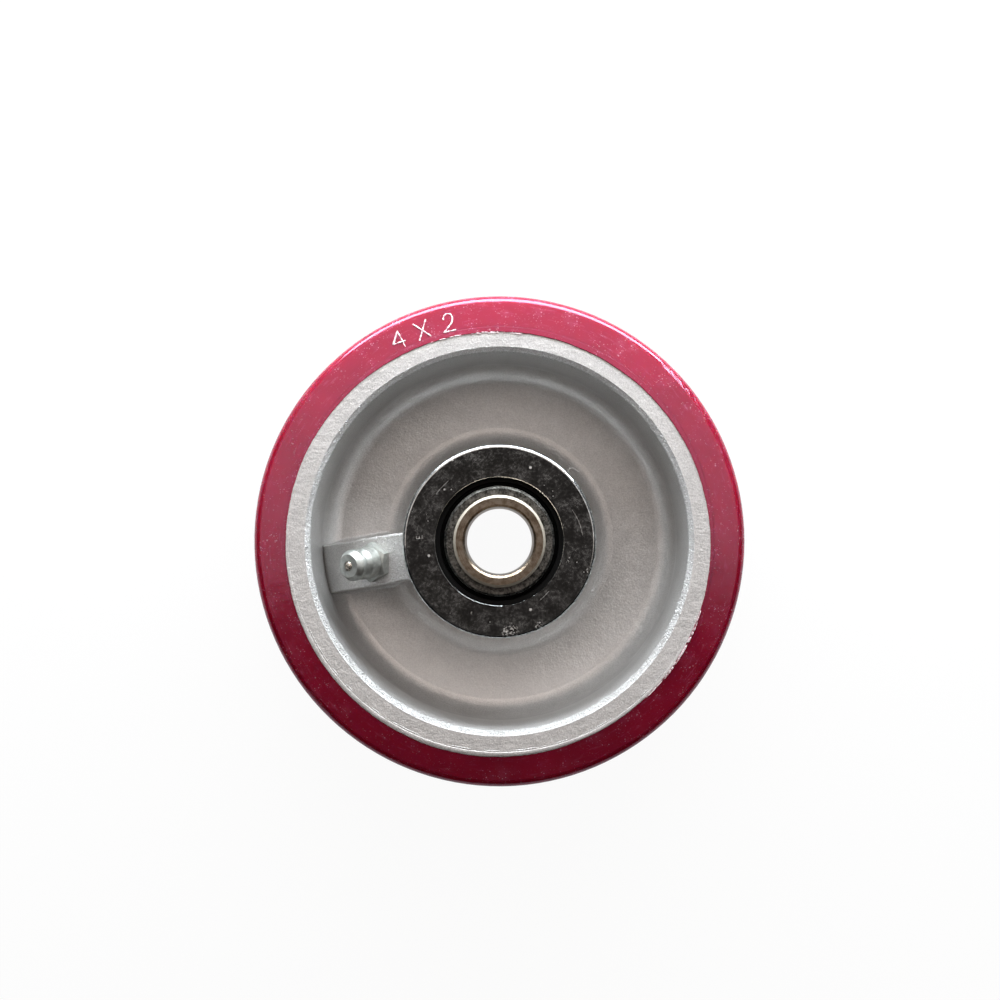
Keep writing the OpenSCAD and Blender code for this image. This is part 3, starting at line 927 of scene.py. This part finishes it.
def lip_tree() -> Tree:
    """Tree that reshapes a swept ring into a thin lip, with a straight edge and a ragged one off centre.

    Returns:
        The tree.
    """
    tree = Tree(
        "ragged_lip",
        {
            "Height": 0.0,
            "Side": 1.0,
            "Slope start": 44.0 * MM,
            "Slope": 0.2,
            "Straight radius": 44.0 * MM,
            "Ragged radius": 43.5 * MM,
            "Ragged centre": (0.0, 0.0, 0.0),
            "Raggedness": 0.1 * MM,
            "Half thickness": 0.06 * MM,
            "Rise": 0.0,
            "Outward": 1.0,
            "Seed": 0.0,
        },
    )
    graph, given = tree.graph, tree.given
    tube = 0.1
    noise_r = 44.0 * MM
    ring = graph.add("GeometryNodeCurvePrimitiveCircle", {"Resolution": 1400, "Radius": 1.0})
    profile = graph.add("GeometryNodeCurvePrimitiveCircle", {"Resolution": 16, "Radius": tube})
    sweep = {"Curve": ring.outputs[0], "Profile Curve": profile.outputs[0]}
    swept = graph.add("GeometryNodeCurveToMesh", sweep)
    x, y, z = graph.separate(graph.add("GeometryNodeInputPosition").outputs[0])
    radius = graph.vector("LENGTH", graph.combine(x, y, 0.0))
    way = graph.vector("NORMALIZE", graph.combine(x, y, 0.0))
    where = graph.vector("MULTIPLY", way, (noise_r, noise_r, 0.0))
    fine = graph.seeded_noise(given["Seed"], 900.0, Vector=where, Detail=3.0, Roughness=0.7)[0]
    coarse = graph.seeded_noise(given["Seed"], 130.0, Vector=where)[0]
    both = graph.plus(graph.minus(fine, 0.5), graph.minus(coarse, 0.5))
    ragged = graph.times(both, 2.0, given["Raggedness"])
    centred = graph.vector("DOT_PRODUCT", way, given["Ragged centre"])
    edge = graph.plus(graph.plus(given["Ragged radius"], centred), ragged)
    reach = graph.times(graph.minus(edge, given["Straight radius"]), given["Outward"])
    reach = graph.highest(reach, 0.02 * MM)
    across = graph.plus(graph.times(graph.minus(radius, 1.0), 0.5 / tube), 0.5)
    inward = graph.ramp(given["Outward"], -1.0, 1.0, 1.0, 0.0)
    share = graph.plus(graph.times(across, given["Outward"]), inward)
    new_radius = graph.plus(given["Straight radius"], graph.times(share, reach, given["Outward"]))
    outside = graph.minus(new_radius, given["Slope start"])
    top_fall = graph.times(graph.highest(outside, graph.times(given["Rise"], -1.0)), given["Slope"])
    low_fall = graph.times(graph.highest(outside, 0.0), given["Slope"])
    thick = graph.times(graph.ramp(reach, 0.0, 0.4 * MM, 0.1, 1.0), given["Half thickness"])
    upper = graph.minus(thick, top_fall)
    lower = graph.times(graph.plus(thick, low_fall), -1.0)
    level = graph.highest(graph.times(z, 3.0 / tube, given["Side"]), -1.0)
    level = graph.times(graph.plus(graph.math("MINIMUM", level, 1.0), 1.0), 0.5)
    above = graph.plus(lower, graph.times(graph.minus(upper, lower), level))
    height = graph.plus(given["Height"], graph.times(above, given["Side"]))
    place = graph.vector("ADD", graph.scale(way, new_radius), graph.combine(0.0, 0.0, height))
    shaped = graph.add("GeometryNodeSetPosition", {"Geometry": swept.outputs[0], "Position": place})
    tree.end(shaped.outputs[0])
    return tree


def grit_tree() -> Tree:
    """Tree that scatters half-sunk lumps over a surface, inside a box and between two radii.

    Returns:
        The tree.
    """
    tree = Tree(
        "cast_grit",
        {
            "Low": (0.0, 0.0, 0.0),
            "High": (0.0, 0.0, 0.0),
            "Inner radius": 0.0,
            "Outer radius": 1.0,
            "Density": 1.0,
            "Smallest": 0.05 * MM,
            "Largest": 0.2 * MM,
            "Seed": 1,
        },
    )
    graph, given = tree.graph, tree.given
    random_value = "FunctionNodeRandomValue"
    seed = given["Seed"]
    place = graph.add("GeometryNodeInputPosition").outputs[0]
    x, y, _ = graph.separate(place)
    radius = graph.vector("LENGTH", graph.combine(x, y, 0.0))
    tests = []
    for bound, order in (("Low", "GREATER_THAN"), ("High", "LESS_THAN")):
        above = graph.separate(graph.vector("SUBTRACT", place, given[bound]))
        tests.extend(graph.math(order, part, 0.0) for part in above)
    tests.append(graph.math("GREATER_THAN", radius, given["Inner radius"]))
    tests.append(graph.math("LESS_THAN", radius, given["Outer radius"]))
    points = {"Mesh": given["Geometry"], "Density": given["Density"], "Seed": seed}
    scatter = graph.add("GeometryNodeDistributePointsOnFaces", points)
    span = {2: given["Smallest"], 3: given["Largest"], "Seed": seed}
    size = graph.add(random_value, span, data_type="FLOAT")
    turns = {0: (0.0, 0.0, 0.0), 1: (6.3, 6.3, 6.3), "Seed": seed}
    turn = graph.add(random_value, turns, data_type="FLOAT_VECTOR")
    lump = graph.add("GeometryNodeMeshIcoSphere", {"Radius": 1.0, "Subdivisions": 1})
    lumps = {
        "Points": scatter.outputs[0],
        "Selection": graph.times(*tests),
        "Instance": lump.outputs[0],
        "Rotation": turn.outputs[0],
        "Scale": size.outputs[1],
    }
    tree.end(graph.add("GeometryNodeInstanceOnPoints", lumps).outputs[0])
    return tree


def new_object(name: str, data: bpy.types.ID) -> bpy.types.Object:
    """Makes an object of the scene, at the origin.

    Args:
        name: Name of the object.
        data: Its mesh, light or camera.

    Returns:
        The new object.
    """
    made = bpy.data.objects.new(name, data)
    bpy.context.scene.collection.objects.link(made)
    return made


def path_object(name: str, paths: Sequence[Sequence[Point]]) -> bpy.types.Object:
    """Object of bare edges.

    Args:
        name: Name of the object.
        paths: Points of each path, in order.

    Returns:
        The new object, which stands at the origin.
    """
    points: list[Point] = []
    edges: list[tuple[int, int]] = []
    for path in paths:
        first = len(points)
        points.extend(path)
        edges.extend((first + i, first + i + 1) for i in range(len(path) - 1))
    mesh = bpy.data.meshes.new(name)
    mesh.from_pydata(points, edges, [])
    return new_object(name, mesh)


def finish_piece(piece: bpy.types.Object, body: str) -> None:
    """Lets a finished piece ride on its body and reports it.

    Args:
        piece: The piece.
        body: Body that it rides on.
    """
    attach(piece, body)
    LOG.info("%s: %d faces on %s", piece.name, len(piece.data.polygons), body)


def dress_node(name: str, material: bpy.types.Material) -> None:
    """Gives a solid of the frame its finish.

    Args:
        name: Name of the node.
        material: Its finish.
    """
    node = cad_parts[name]
    if not node.material_slots:
        node.data.materials.append(material)
    for slot in node.material_slots:
        slot.material = material
    LOG.info("%s: %s", name, material.name)


@dataclass(frozen=True)
class Bead:
    """How an uneven bead is laid along its paths. Its fields are named as the inputs of the bead's tree.

    Attributes:
        half_width: Half the width of the bead.
        step: Length of one stretch of it.
        wobble: How far it strays.
        grain: Cells of its unevenness in a metre.
        seed: Seed of the unevenness.
        patchiness: Share by which it sinks away in places.
        flatness: Its height as a share of its width.
    """

    half_width: float
    step: float
    wobble: float
    grain: float
    seed: float
    patchiness: float = 0.0
    flatness: float = 1.0

    def lay(
        self,
        tree: Tree,
        name: str,
        paths: Sequence[Sequence[Point]],
        material: bpy.types.Material,
        slot: str,
    ) -> None:
        """Lays the bead and lets it ride on the wheel.

        Args:
            tree: Tree that lays a bead.
            name: Name of the piece.
            paths: Points of each path, in order.
            material: Finish of the bead.
            slot: Not used.
        """
        piece = path_object(name, paths)
        values = {field.replace("_", " ").capitalize(): value for field, value in asdict(self).items()}
        tree.apply(piece, {**values, "Material": material})
        finish_piece(piece, "wheel")


@dataclass(frozen=True)
class Lap:
    """How a ragged lip lies over the joint of tyre and rim.

    Attributes:
        outward: 1 where its ragged edge lies outside its straight one, and -1 where it lies inside.
        start: Distance of its straight edge outside the rim.
        half: Half its thickness.
        rise: How far inside the rim its top still rises with the tyre's slope.
    """

    outward: float
    start: float
    half: float
    rise: float


@dataclass
class Tyre:
    """Tyre with raised size numerals on its side and a ragged edge at the rim.

    Attributes:
        sizes: Sizes of the wheel.
        numeral_height: Height of a numeral.
        numeral_middle: Middle of a numeral, in heights across.
        stroke: Bead of a numeral's strokes.
        baseline_r: Distance of the numerals' baseline from the axis.
        edge_r: Radius of the ragged edge.
        edge_centre: Centre of the ragged edge, which is off the wheel's axis.
        raggedness: How far the edge strays.
        urethane_lap: Urethane on the rim.
        paint_lap: Paint on the tyre.
        shred: Bead of the torn film.
        shred_lift: Height of the torn film over the rim's face.
        torn_arcs: First and last angle of each shred of torn film in degrees, and how far outside the edge
            it lies.
        numerals: Angle of each numeral in degrees and its strokes, in heights across and up.
    """

    sizes: Sizes
    numeral_height: float = 3.74 * MM
    numeral_middle: float = 0.35
    stroke: Bead = Bead(0.17 * MM, 0.1 * MM, 0.05 * MM, 1400.0, seed=3.0, patchiness=0.45)
    baseline_r: float = 44.6 * MM
    edge_r: float = 43.86 * MM
    edge_centre: Point = (-0.27 * MM, -0.65 * MM, 0.0)
    raggedness: float = 0.16 * MM
    urethane_lap: Lap = Lap(-1.0, 0.30 * MM, 0.01 * MM, 2.0 * MM)
    paint_lap: Lap = Lap(1.0, -0.50 * MM, 0.03 * MM, 0.0)
    shred: Bead = Bead(0.10 * MM, 0.08 * MM, 0.12 * MM, 1100.0, seed=5.0, patchiness=1.0, flatness=0.5)
    shred_lift: float = 0.12 * MM
    torn_arcs: tuple[tuple[float, float, float], ...] = (
        (82.0, 109.0, 0.05 * MM),
        (84.0, 99.0, -0.16 * MM),
        (313.0, 341.0, 0.14 * MM),
        (320.0, 338.0, 0.34 * MM),
    )
    numerals: tuple[tuple[float, tuple[tuple[tuple[float, float], ...], ...]], ...] = (
        (116.4, (((0.46, 1.0), (0.48, 0.0)), ((0.46, 1.0), (-0.06, 0.42), (0.63, 0.32)))),
        (110.1, (((0.0, 1.0), (0.72, 0.0)), ((0.70, 1.0), (0.02, 0.0)))),
        (
            103.15,
            (
                (
                    (0.12, 0.70),
                    (0.18, 0.88),
                    (0.35, 1.0),
                    (0.55, 0.92),
                    (0.62, 0.73),
                    (0.58, 0.55),
                    (0.49, 0.39),
                    (0.0, 0.0),
                    (0.665, 0.0),
                ),
                ((0.10, 0.69), (0.16, 0.72)),
            ),
        ),
    )

    def build(self, finishes: Finishes, beads: Tree, lips: Tree) -> None:
        """Makes the numerals and the ragged edges, and dresses the tyre.

        Args:
            finishes: Finishes of the wheel.
            beads: Tree that lays a bead.
            lips: Tree that makes a lip.
        """
        dress_node("tyre", finishes.urethane)
        self.stroke.lay(beads, "size_numerals", self.strokes(), finishes.whitened, "tyre")
        shreds = [self.edge_arc(*arc) for arc in self.torn_arcs]
        self.shred.lay(beads, "torn_film", shreds, finishes.whitened, "tyre")
        for side in Side:
            self.edge(side, finishes, lips)

    def on_side(self, along: float, out: float) -> Point:
        """Point on the sloping side, from an angle in radians and a distance from the axis."""
        return (out * math.cos(along), out * math.sin(along), self.sizes.tyre_side_z(out, Side.FRONT))

    def edge_arc(self, start: float, end: float, out: float) -> list[Point]:
        """Points on the rim's face along the ragged edge.

        Args:
            start: First angle in degrees.
            end: Last angle in degrees.
            out: How far outside the edge the points lie.

        Returns:
            The points, half a degree apart.
        """
        points = []
        for step in range(int(2 * (end - start)) + 1):
            turn = math.radians(start + step / 2)
            x, y = math.cos(turn), math.sin(turn)
            radius = self.edge_r + out + x * self.edge_centre[0] + y * self.edge_centre[1]
            points.append((radius * x, radius * y, self.sizes.face_z(Side.FRONT) + self.shred_lift))
        return points

    def strokes(self) -> list[list[Point]]:
        """Paths of the numerals' strokes on the tyre's side.

        Returns:
            Points of each stroke.
        """
        paths = []
        for angle, drawing in self.numerals:
            middle = math.radians(angle)
            for stroke in drawing:
                path = []
                for across, up in stroke:
                    turn = (across - self.numeral_middle) * self.numeral_height / self.baseline_r
                    path.append(self.on_side(middle - turn, self.baseline_r + up * self.numeral_height))
                paths.append(path)
        return paths

    def edge(self, side: Side, finishes: Finishes, lips: Tree) -> None:
        """Urethane lapped on the rim where the tyre is moulded off centre, and paint on the tyre elsewhere.

        Args:
            side: Side of the wheel.
            finishes: Finishes of the wheel.
            lips: Tree that makes a lip.
        """
        laps = (
            ("urethane_lap", self.urethane_lap, finishes.film, "tyre"),
            ("paint_lap", self.paint_lap, finishes.paint, "silver_paint"),
        )
        for name, lap, material, slot in laps:
            piece = path_object(f"{name}_{side.name.lower()}", [[(0.0, 0.0, 0.0), (1.0 * MM, 0.0, 0.0)]])
            values = {
                "Height": self.sizes.face_z(side),
                "Side": float(side.value),
                "Slope start": self.sizes.rim_r,
                "Slope": math.tan(self.sizes.tyre_slope),
                "Straight radius": self.sizes.rim_r + lap.start,
                "Ragged radius": self.edge_r,
                "Ragged centre": self.edge_centre,
                "Raggedness": self.raggedness,
                "Half thickness": lap.half,
                "Rise": lap.rise,
                "Outward": lap.outward,
                "Seed": 7.0 + side.value,
                "Material": material,
            }
            lips.apply(piece, values)
            finish_piece(piece, "wheel")


@dataclass(frozen=True)
class Grit:
    """Grit under the paint of the casting.

    Attributes:
        density: Lumps in a square metre.
        smallest: Smallest radius of a lump.
        largest: Largest radius of a lump.
        seed: Seed of the scatter.
        bright: Whether the lumps take the lighter paint, whose pale tone is a painted highlight.
    """

    density: float
    smallest: float
    largest: float
    seed: int
    bright: bool = False


@dataclass
class Casting:
    """Painted casting, with grit under its paint.

    Attributes:
        sizes: Sizes of the wheel.
        rib_reach: Distances from the axis between which grit lies on the rib.
        rib_half: Half the width of the strip that takes grit.
        rib_heights: Heights over the mid-plane between which grit lies on the rib.
        hub_r: Radius of the hub, inside which no grit lies.
        reach: Half the width of a box that holds the whole casting.
        bevel_step: How far below the bevel its grit starts.
        rib_grit: Grit on the rib's top.
        bevel_grit: Grit on the rim's bevels.
        pocket_grit: Grit in the pockets.
        run: Bead of the run of paint on the rim's face.
        run_r: Distance of the run from the axis.
        run_arc: First and last angle of the run in degrees.
    """

    sizes: Sizes
    rib_reach: tuple[float, float] = (20.6 * MM, 31.0 * MM)
    rib_half: float = 5.0 * MM
    rib_heights: tuple[float, float] = (8.0 * MM, 23.0 * MM)
    hub_r: float = 19.9 * MM
    reach: float = 45.0 * MM
    bevel_step: float = 0.7 * MM
    rib_grit: Grit = Grit(1.6e6, 0.07 * MM, 0.20 * MM, seed=11)
    bevel_grit: Grit = Grit(2.2e6, 0.07 * MM, 0.17 * MM, seed=21, bright=True)
    pocket_grit: Grit = Grit(7.0e4, 0.04 * MM, 0.11 * MM, seed=12)
    run: Bead = Bead(0.07 * MM, 0.2 * MM, 0.08 * MM, 300.0, seed=9.0, patchiness=1.0, flatness=0.6)
    run_r: float = 43.27 * MM
    run_arc: tuple[int, int] = (205, 345)

    def build(self, finishes: Finishes, scatter: Tree, beads: Tree) -> None:
        """Dresses the casting and adds its grit and a run of paint.

        Args:
            finishes: Finishes of the wheel.
            scatter: Tree that scatters lumps.
            beads: Tree that lays a bead.
        """
        dress_node("wheel_core", finishes.paint)
        for name, grit, box, radii in self.areas():
            piece = new_object(name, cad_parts["wheel_core"].data.copy())
            values = {
                "Low": box[0],
                "High": box[1],
                "Inner radius": radii[0],
                "Outer radius": radii[1],
                "Density": grit.density,
                "Smallest": grit.smallest,
                "Largest": grit.largest,
                "Seed": grit.seed,
                # Grit on the bevels takes the lighter paint, a painted highlight.
                "Material": finishes.glint_paint if grit.bright else finishes.paint,
            }
            scatter.apply(piece, values)
            finish_piece(piece, "wheel")
        # The ridge takes the lighter paint, a painted highlight.
        self.run.lay(beads, "rim_paint_ridge", [self.run_path()], finishes.glint_paint, "silver_paint")

    def areas(self) -> list[tuple[str, Grit, tuple[Point, Point], tuple[float, float]]]:
        """Areas of grit: the rib's top, then the bevel and the pocket on each side.

        Returns:
            Name of each area's piece, its grit, the box that holds it and its distances from the axis.
        """
        sizes = self.sizes
        skin = 0.05 * MM
        bevel_r = (sizes.rim_inner_r - sizes.rim_bevel - 2 * skin, sizes.rim_inner_r + 2 * skin)
        pocket_r = (self.hub_r, bevel_r[0])
        areas = [("rib_grit", self.rib_grit, self.rib_box(), (0.0, 1.0))]
        for side in Side:
            name = side.name.lower()
            near = sizes.mid_z + side.value * (sizes.web_z - skin)
            step = sizes.face_z(side) - side.value * (sizes.rim_bevel + self.bevel_step)
            far = sizes.face_z(side) - side.value * 0.02 * MM
            areas.append((f"bevel_grit_{name}", self.bevel_grit, self.slab(step, far), bevel_r))
            areas.append((f"pocket_grit_{name}", self.pocket_grit, self.slab(near, far), pocket_r))
        return areas

    def slab(self, first: float, second: float) -> tuple[Point, Point]:
        """Corners of a slab across the wheel between two heights."""
        low, high = min(first, second), max(first, second)
        return (-self.reach, -self.reach, low), (self.reach, self.reach, high)

    def rib_box(self) -> tuple[Point, Point]:
        """Corners of a box round the top of the rib, which lies nearly along -X.

        Returns:
            Lowest and highest corner.
        """
        turn = self.sizes.rib_angle
        xs = [r * math.cos(turn) for r in self.rib_reach]
        ys = [r * math.sin(turn) for r in self.rib_reach]
        low, high = (self.sizes.mid_z + height for height in self.rib_heights)
        return (min(xs), min(ys) - self.rib_half, low), (max(xs), max(ys) + self.rib_half, high)

    def run_path(self) -> list[Point]:
        """Path of a ridge of lighter paint, whose pale tone is a painted highlight, along the rim's lower
        edge, where the casting's corner shows.

        Returns:
            Points a degree apart.
        """
        height = self.sizes.face_z(Side.FRONT)
        turns = (math.radians(angle) for angle in range(self.run_arc[0], self.run_arc[1] + 1))
        return [(self.run_r * math.cos(turn), self.run_r * math.sin(turn), height) for turn in turns]


@dataclass
class Hub:
    """Caps, seals, bushing, collars and the bearing inside.

    Attributes:
        sizes: Sizes of the wheel.
        hair: Bead of a hair of lint.
        hair_drop: How far the hairs start below the front cap's face.
        hairs: Points of each hair: distance from the axis in millimetres, angle in degrees and lift in
            millimetres.
    """

    sizes: Sizes
    hair: Bead = Bead(0.035 * MM, 0.06 * MM, 0.05 * MM, 700.0, seed=2.0)
    hair_drop: float = 1.3 * MM
    hairs: tuple[tuple[Point, ...], ...] = (
        (
            (19.9, 45.5, 0.0),
            (20.9, 46.2, 0.15),
            (21.5, 44.6, 0.25),
            (21.75, 42.0, 0.0),
            (22.1, 40.9, -0.6),
        ),
        ((19.9, 171.0, 0.0), (20.5, 170.4, 0.1), (21.0, 171.3, -0.2)),
    )

    def build(self, finishes: Finishes, beads: Tree) -> None:
        """Dresses the pieces of the hub and adds the lint at its edge.

        Args:
            finishes: Finishes of the wheel.
            beads: Tree that lays a bead.
        """
        looks = {
            "front_retainer": finishes.handled_zinc,
            "back_retainer": finishes.zinc,
            "front_seal": finishes.rubber,
            "back_seal": finishes.rubber,
            "front_collar": finishes.collar,
            "back_collar": finishes.collar,
            "spanner_bushing": finishes.bushing,
        }
        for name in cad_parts:
            if name.startswith("roller_"):
                looks[name] = finishes.polished
            elif name.startswith("cage_bar_") or name.endswith("_cage_ring"):
                looks[name] = finishes.cage
        for name, material in looks.items():
            dress_node(name, material)
        self.hair.lay(beads, "lint", self.hair_paths(), finishes.fibre, "silver_paint")

    def hair_paths(self) -> list[list[Point]]:
        """Paths of two short hairs caught between the front cap and the casting.

        Returns:
            Points of each hair.
        """
        height = self.sizes.retainer_z - self.hair_drop
        paths = []
        for hair in self.hairs:
            turns = ((r * MM, math.radians(a), lift * MM) for r, a, lift in hair)
            paths.append([(r * math.cos(a), r * math.sin(a), height + lift) for r, a, lift in turns])
        return paths


class GreaseNipple:
    """Body, ball and spring of the nipple."""

    def build(self, finishes: Finishes) -> None:
        """Dresses the pieces of the nipple.

        Args:
            finishes: Finishes of the wheel.
        """
        dress_node("nipple_body", finishes.nipple_zinc)
        dress_node("nipple_ball", finishes.ball)
        dress_node("nipple_spring", finishes.polished)
        self.coil(finishes)

    def coil(self, finishes: Finishes) -> None:
        """Spring that stands for the solid one, with doubled points merged and its faces shaded smooth.

        Args:
            finishes: Finishes of the wheel.
        """
        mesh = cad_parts["nipple_spring"].data.copy()
        shape = bmesh.new()
        shape.from_mesh(mesh)
        bmesh.ops.remove_doubles(shape, verts=shape.verts, dist=0.001 * MM)
        for face in shape.faces:
            face.smooth = True
        shape.to_mesh(mesh)
        shape.free()
        mesh.materials.clear()
        mesh.materials.append(finishes.polished)
        piece = new_object("nipple_coil", mesh)
        finish_piece(piece, "wheel")
        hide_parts("nipple_spring")
        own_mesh(piece)


@dataclass(frozen=True)
class Lamp:
    """Soft rectangular lamp aimed at the wheel.

    Attributes:
        name: Name of the lamp.
        place: Its place.
        size: Its width and height.
        power: Its power in watts.
        colour: Its colour.
    """

    name: str
    place: Point
    size: tuple[float, float]
    power: float
    colour: Colour

    def hang(self, target: Point) -> None:
        """Makes the lamp and aims it.

        Args:
            target: Point that it is aimed at.
        """
        light = bpy.data.lights.new(self.name, "AREA")
        light.shape = "RECTANGLE"
        light.size, light.size_y = self.size
        light.energy = self.power
        light.color = self.colour
        lamp = new_object(self.name, light)
        lamp.location = self.place
        aim = Vector(target) - Vector(self.place)
        lamp.rotation_euler = aim.to_track_quat("-Z", "Y").to_euler()


@dataclass
class Studio:
    """Pale floor, soft light and the camera.

    Attributes:
        sizes: Sizes of the wheel.
        camera_height: Height of the camera over the wheel's mid-plane.
        lens: Focal length in millimetres.
        sensor: Width of the sensor in millimetres.
        shift: Shift of the lens that the photograph's framing needs.
        aim_height: Height over the mid-plane at which the lamps are aimed.
        floor_half: Half the width of the floor.
        lamps: The lamps.
    """

    sizes: Sizes
    camera_height: float = 0.8
    lens: float = 135.05
    sensor: float = 36.0
    shift: tuple[float, float] = (0.0006, 0.0413)
    aim_height: float = 15.0 * MM
    floor_half: float = 3.0
    lamps: tuple[Lamp, ...] = (
        Lamp("key_light", (0.01, 0.175, 0.104), (0.32, 0.08), 1.6, (0.89, 0.95, 1.0)),
        Lamp("left_light", (-0.3, 0.3, 0.16), (0.26, 0.2), 0.1, (0.97, 0.99, 1.0)),
        Lamp("right_light", (0.38, 0.2, 0.16), (0.26, 0.2), 0.01, (0.97, 0.99, 1.0)),
    )

    def build(self) -> None:
        """Makes the floor, the world, the lamps and the camera."""
        self.floor()
        self.world()
        for lamp in self.lamps:
            lamp.hang((0.0, 0.0, self.sizes.mid_z + self.aim_height))
        self.camera()
        bpy.context.scene.view_settings.view_transform = "Standard"
        LOG.info("studio: floor, world, lamps and camera")

    @staticmethod
    def seen_rays(graph: Graph) -> tuple[Socket, Socket]:
        """Mask of the rays that the camera sees straight or through glass, and mask of mirrored ones."""
        rays = graph.add("ShaderNodeLightPath").outputs
        return graph.highest(rays["Is Camera Ray"], rays["Is Transmission Ray"]), rays["Is Glossy Ray"]

    def floor(self) -> None:
        """Pale floor that the camera sees as white, with a faint shadow kept."""
        half = self.floor_half
        mesh = bpy.data.meshes.new("floor")
        corner_points = [(-half, -half, 0), (half, -half, 0), (half, half, 0), (-half, half, 0)]
        mesh.from_pydata(corner_points, [], [(0, 1, 2, 3)])
        material = bpy.data.materials.new("pale_floor")
        material.use_nodes = True
        graph = Graph(material.node_tree)
        seen, mirrored = self.seen_rays(graph)
        share = graph.times(graph.highest(seen, graph.times(mirrored, 0.6)), 0.95)
        matt = graph.add("ShaderNodeBsdfDiffuse", {"Color": (0.82, 0.82, 0.82, 1.0)})
        white = graph.add("ShaderNodeEmission", {"Color": rgba(WHITE), "Strength": 1.0})
        both = graph.add("ShaderNodeMixShader", {0: share, 1: matt.outputs[0], 2: white.outputs[0]})
        graph.add("ShaderNodeOutputMaterial", {"Surface": both.outputs[0]})
        mesh.materials.append(material)
        floor = new_object("floor", mesh)

    def world(self) -> None:
        """Room that is bright towards +Y and the sides, and dark overhead and towards -Y."""
        world = bpy.data.worlds.new("studio")
        world.use_nodes = True
        bpy.context.scene.world = world
        graph = Graph(world.node_tree)
        _, y, z = graph.separate(graph.add("ShaderNodeTexCoord").outputs["Generated"])
        wide = graph.ramp(y, -0.30, 0.60, 0.03, 1.0)
        edge = graph.ramp(y, -0.15, -0.02, 0.03, 1.0)
        bright = graph.plus(wide, graph.times(graph.ramp(z, 0.84, 0.92), graph.minus(edge, wide)))
        raised = graph.ramp(z, 0.45, 0.90, 0.12, 1.7)
        zenith = graph.ramp(z, 0.92, 0.985, 1.0, 0.02)
        tint = graph.mix(graph.ramp(z, 0.6, 0.9), rgba(WHITE), (1.0, 0.87, 0.80, 1.0))
        level = graph.times(bright, raised, zenith)
        room = graph.add("ShaderNodeBackground", {"Color": tint, "Strength": level})
        pale = graph.add("ShaderNodeBackground", {"Color": rgba(WHITE), "Strength": 1.0})
        layers = {0: self.seen_rays(graph)[0], 1: room.outputs[0], 2: pale.outputs[0]}
        both = graph.add("ShaderNodeMixShader", layers)
        graph.add("ShaderNodeOutputWorld", {"Surface": both.outputs[0]})

    def camera(self) -> None:
        """Camera on the wheel's axis, which looks straight down."""
        data = bpy.data.cameras.new("camera")
        data.lens = self.lens
        data.sensor_width = self.sensor
        data.shift_x, data.shift_y = self.shift
        data.clip_start, data.clip_end = 0.01, 20.0
        camera = new_object("camera", data)
        camera.location = (0.0, 0.0, self.sizes.mid_z + self.camera_height)
        bpy.context.scene.camera = camera


def main() -> None:
    """Builds the wheel's looks in order."""
    logging.basicConfig(level=logging.INFO, format="%(name)s: %(message)s")
    sizes = Sizes()
    finishes = Finishes()
    beads, lips, scatter = bead_tree(), lip_tree(), grit_tree()
    Tyre(sizes).build(finishes, beads, lips)
    Casting(sizes).build(finishes, scatter, beads)
    Hub(sizes).build(finishes, beads)
    GreaseNipple().build(finishes)
    Studio(sizes).build()


if __name__ == "__main__":
    main()
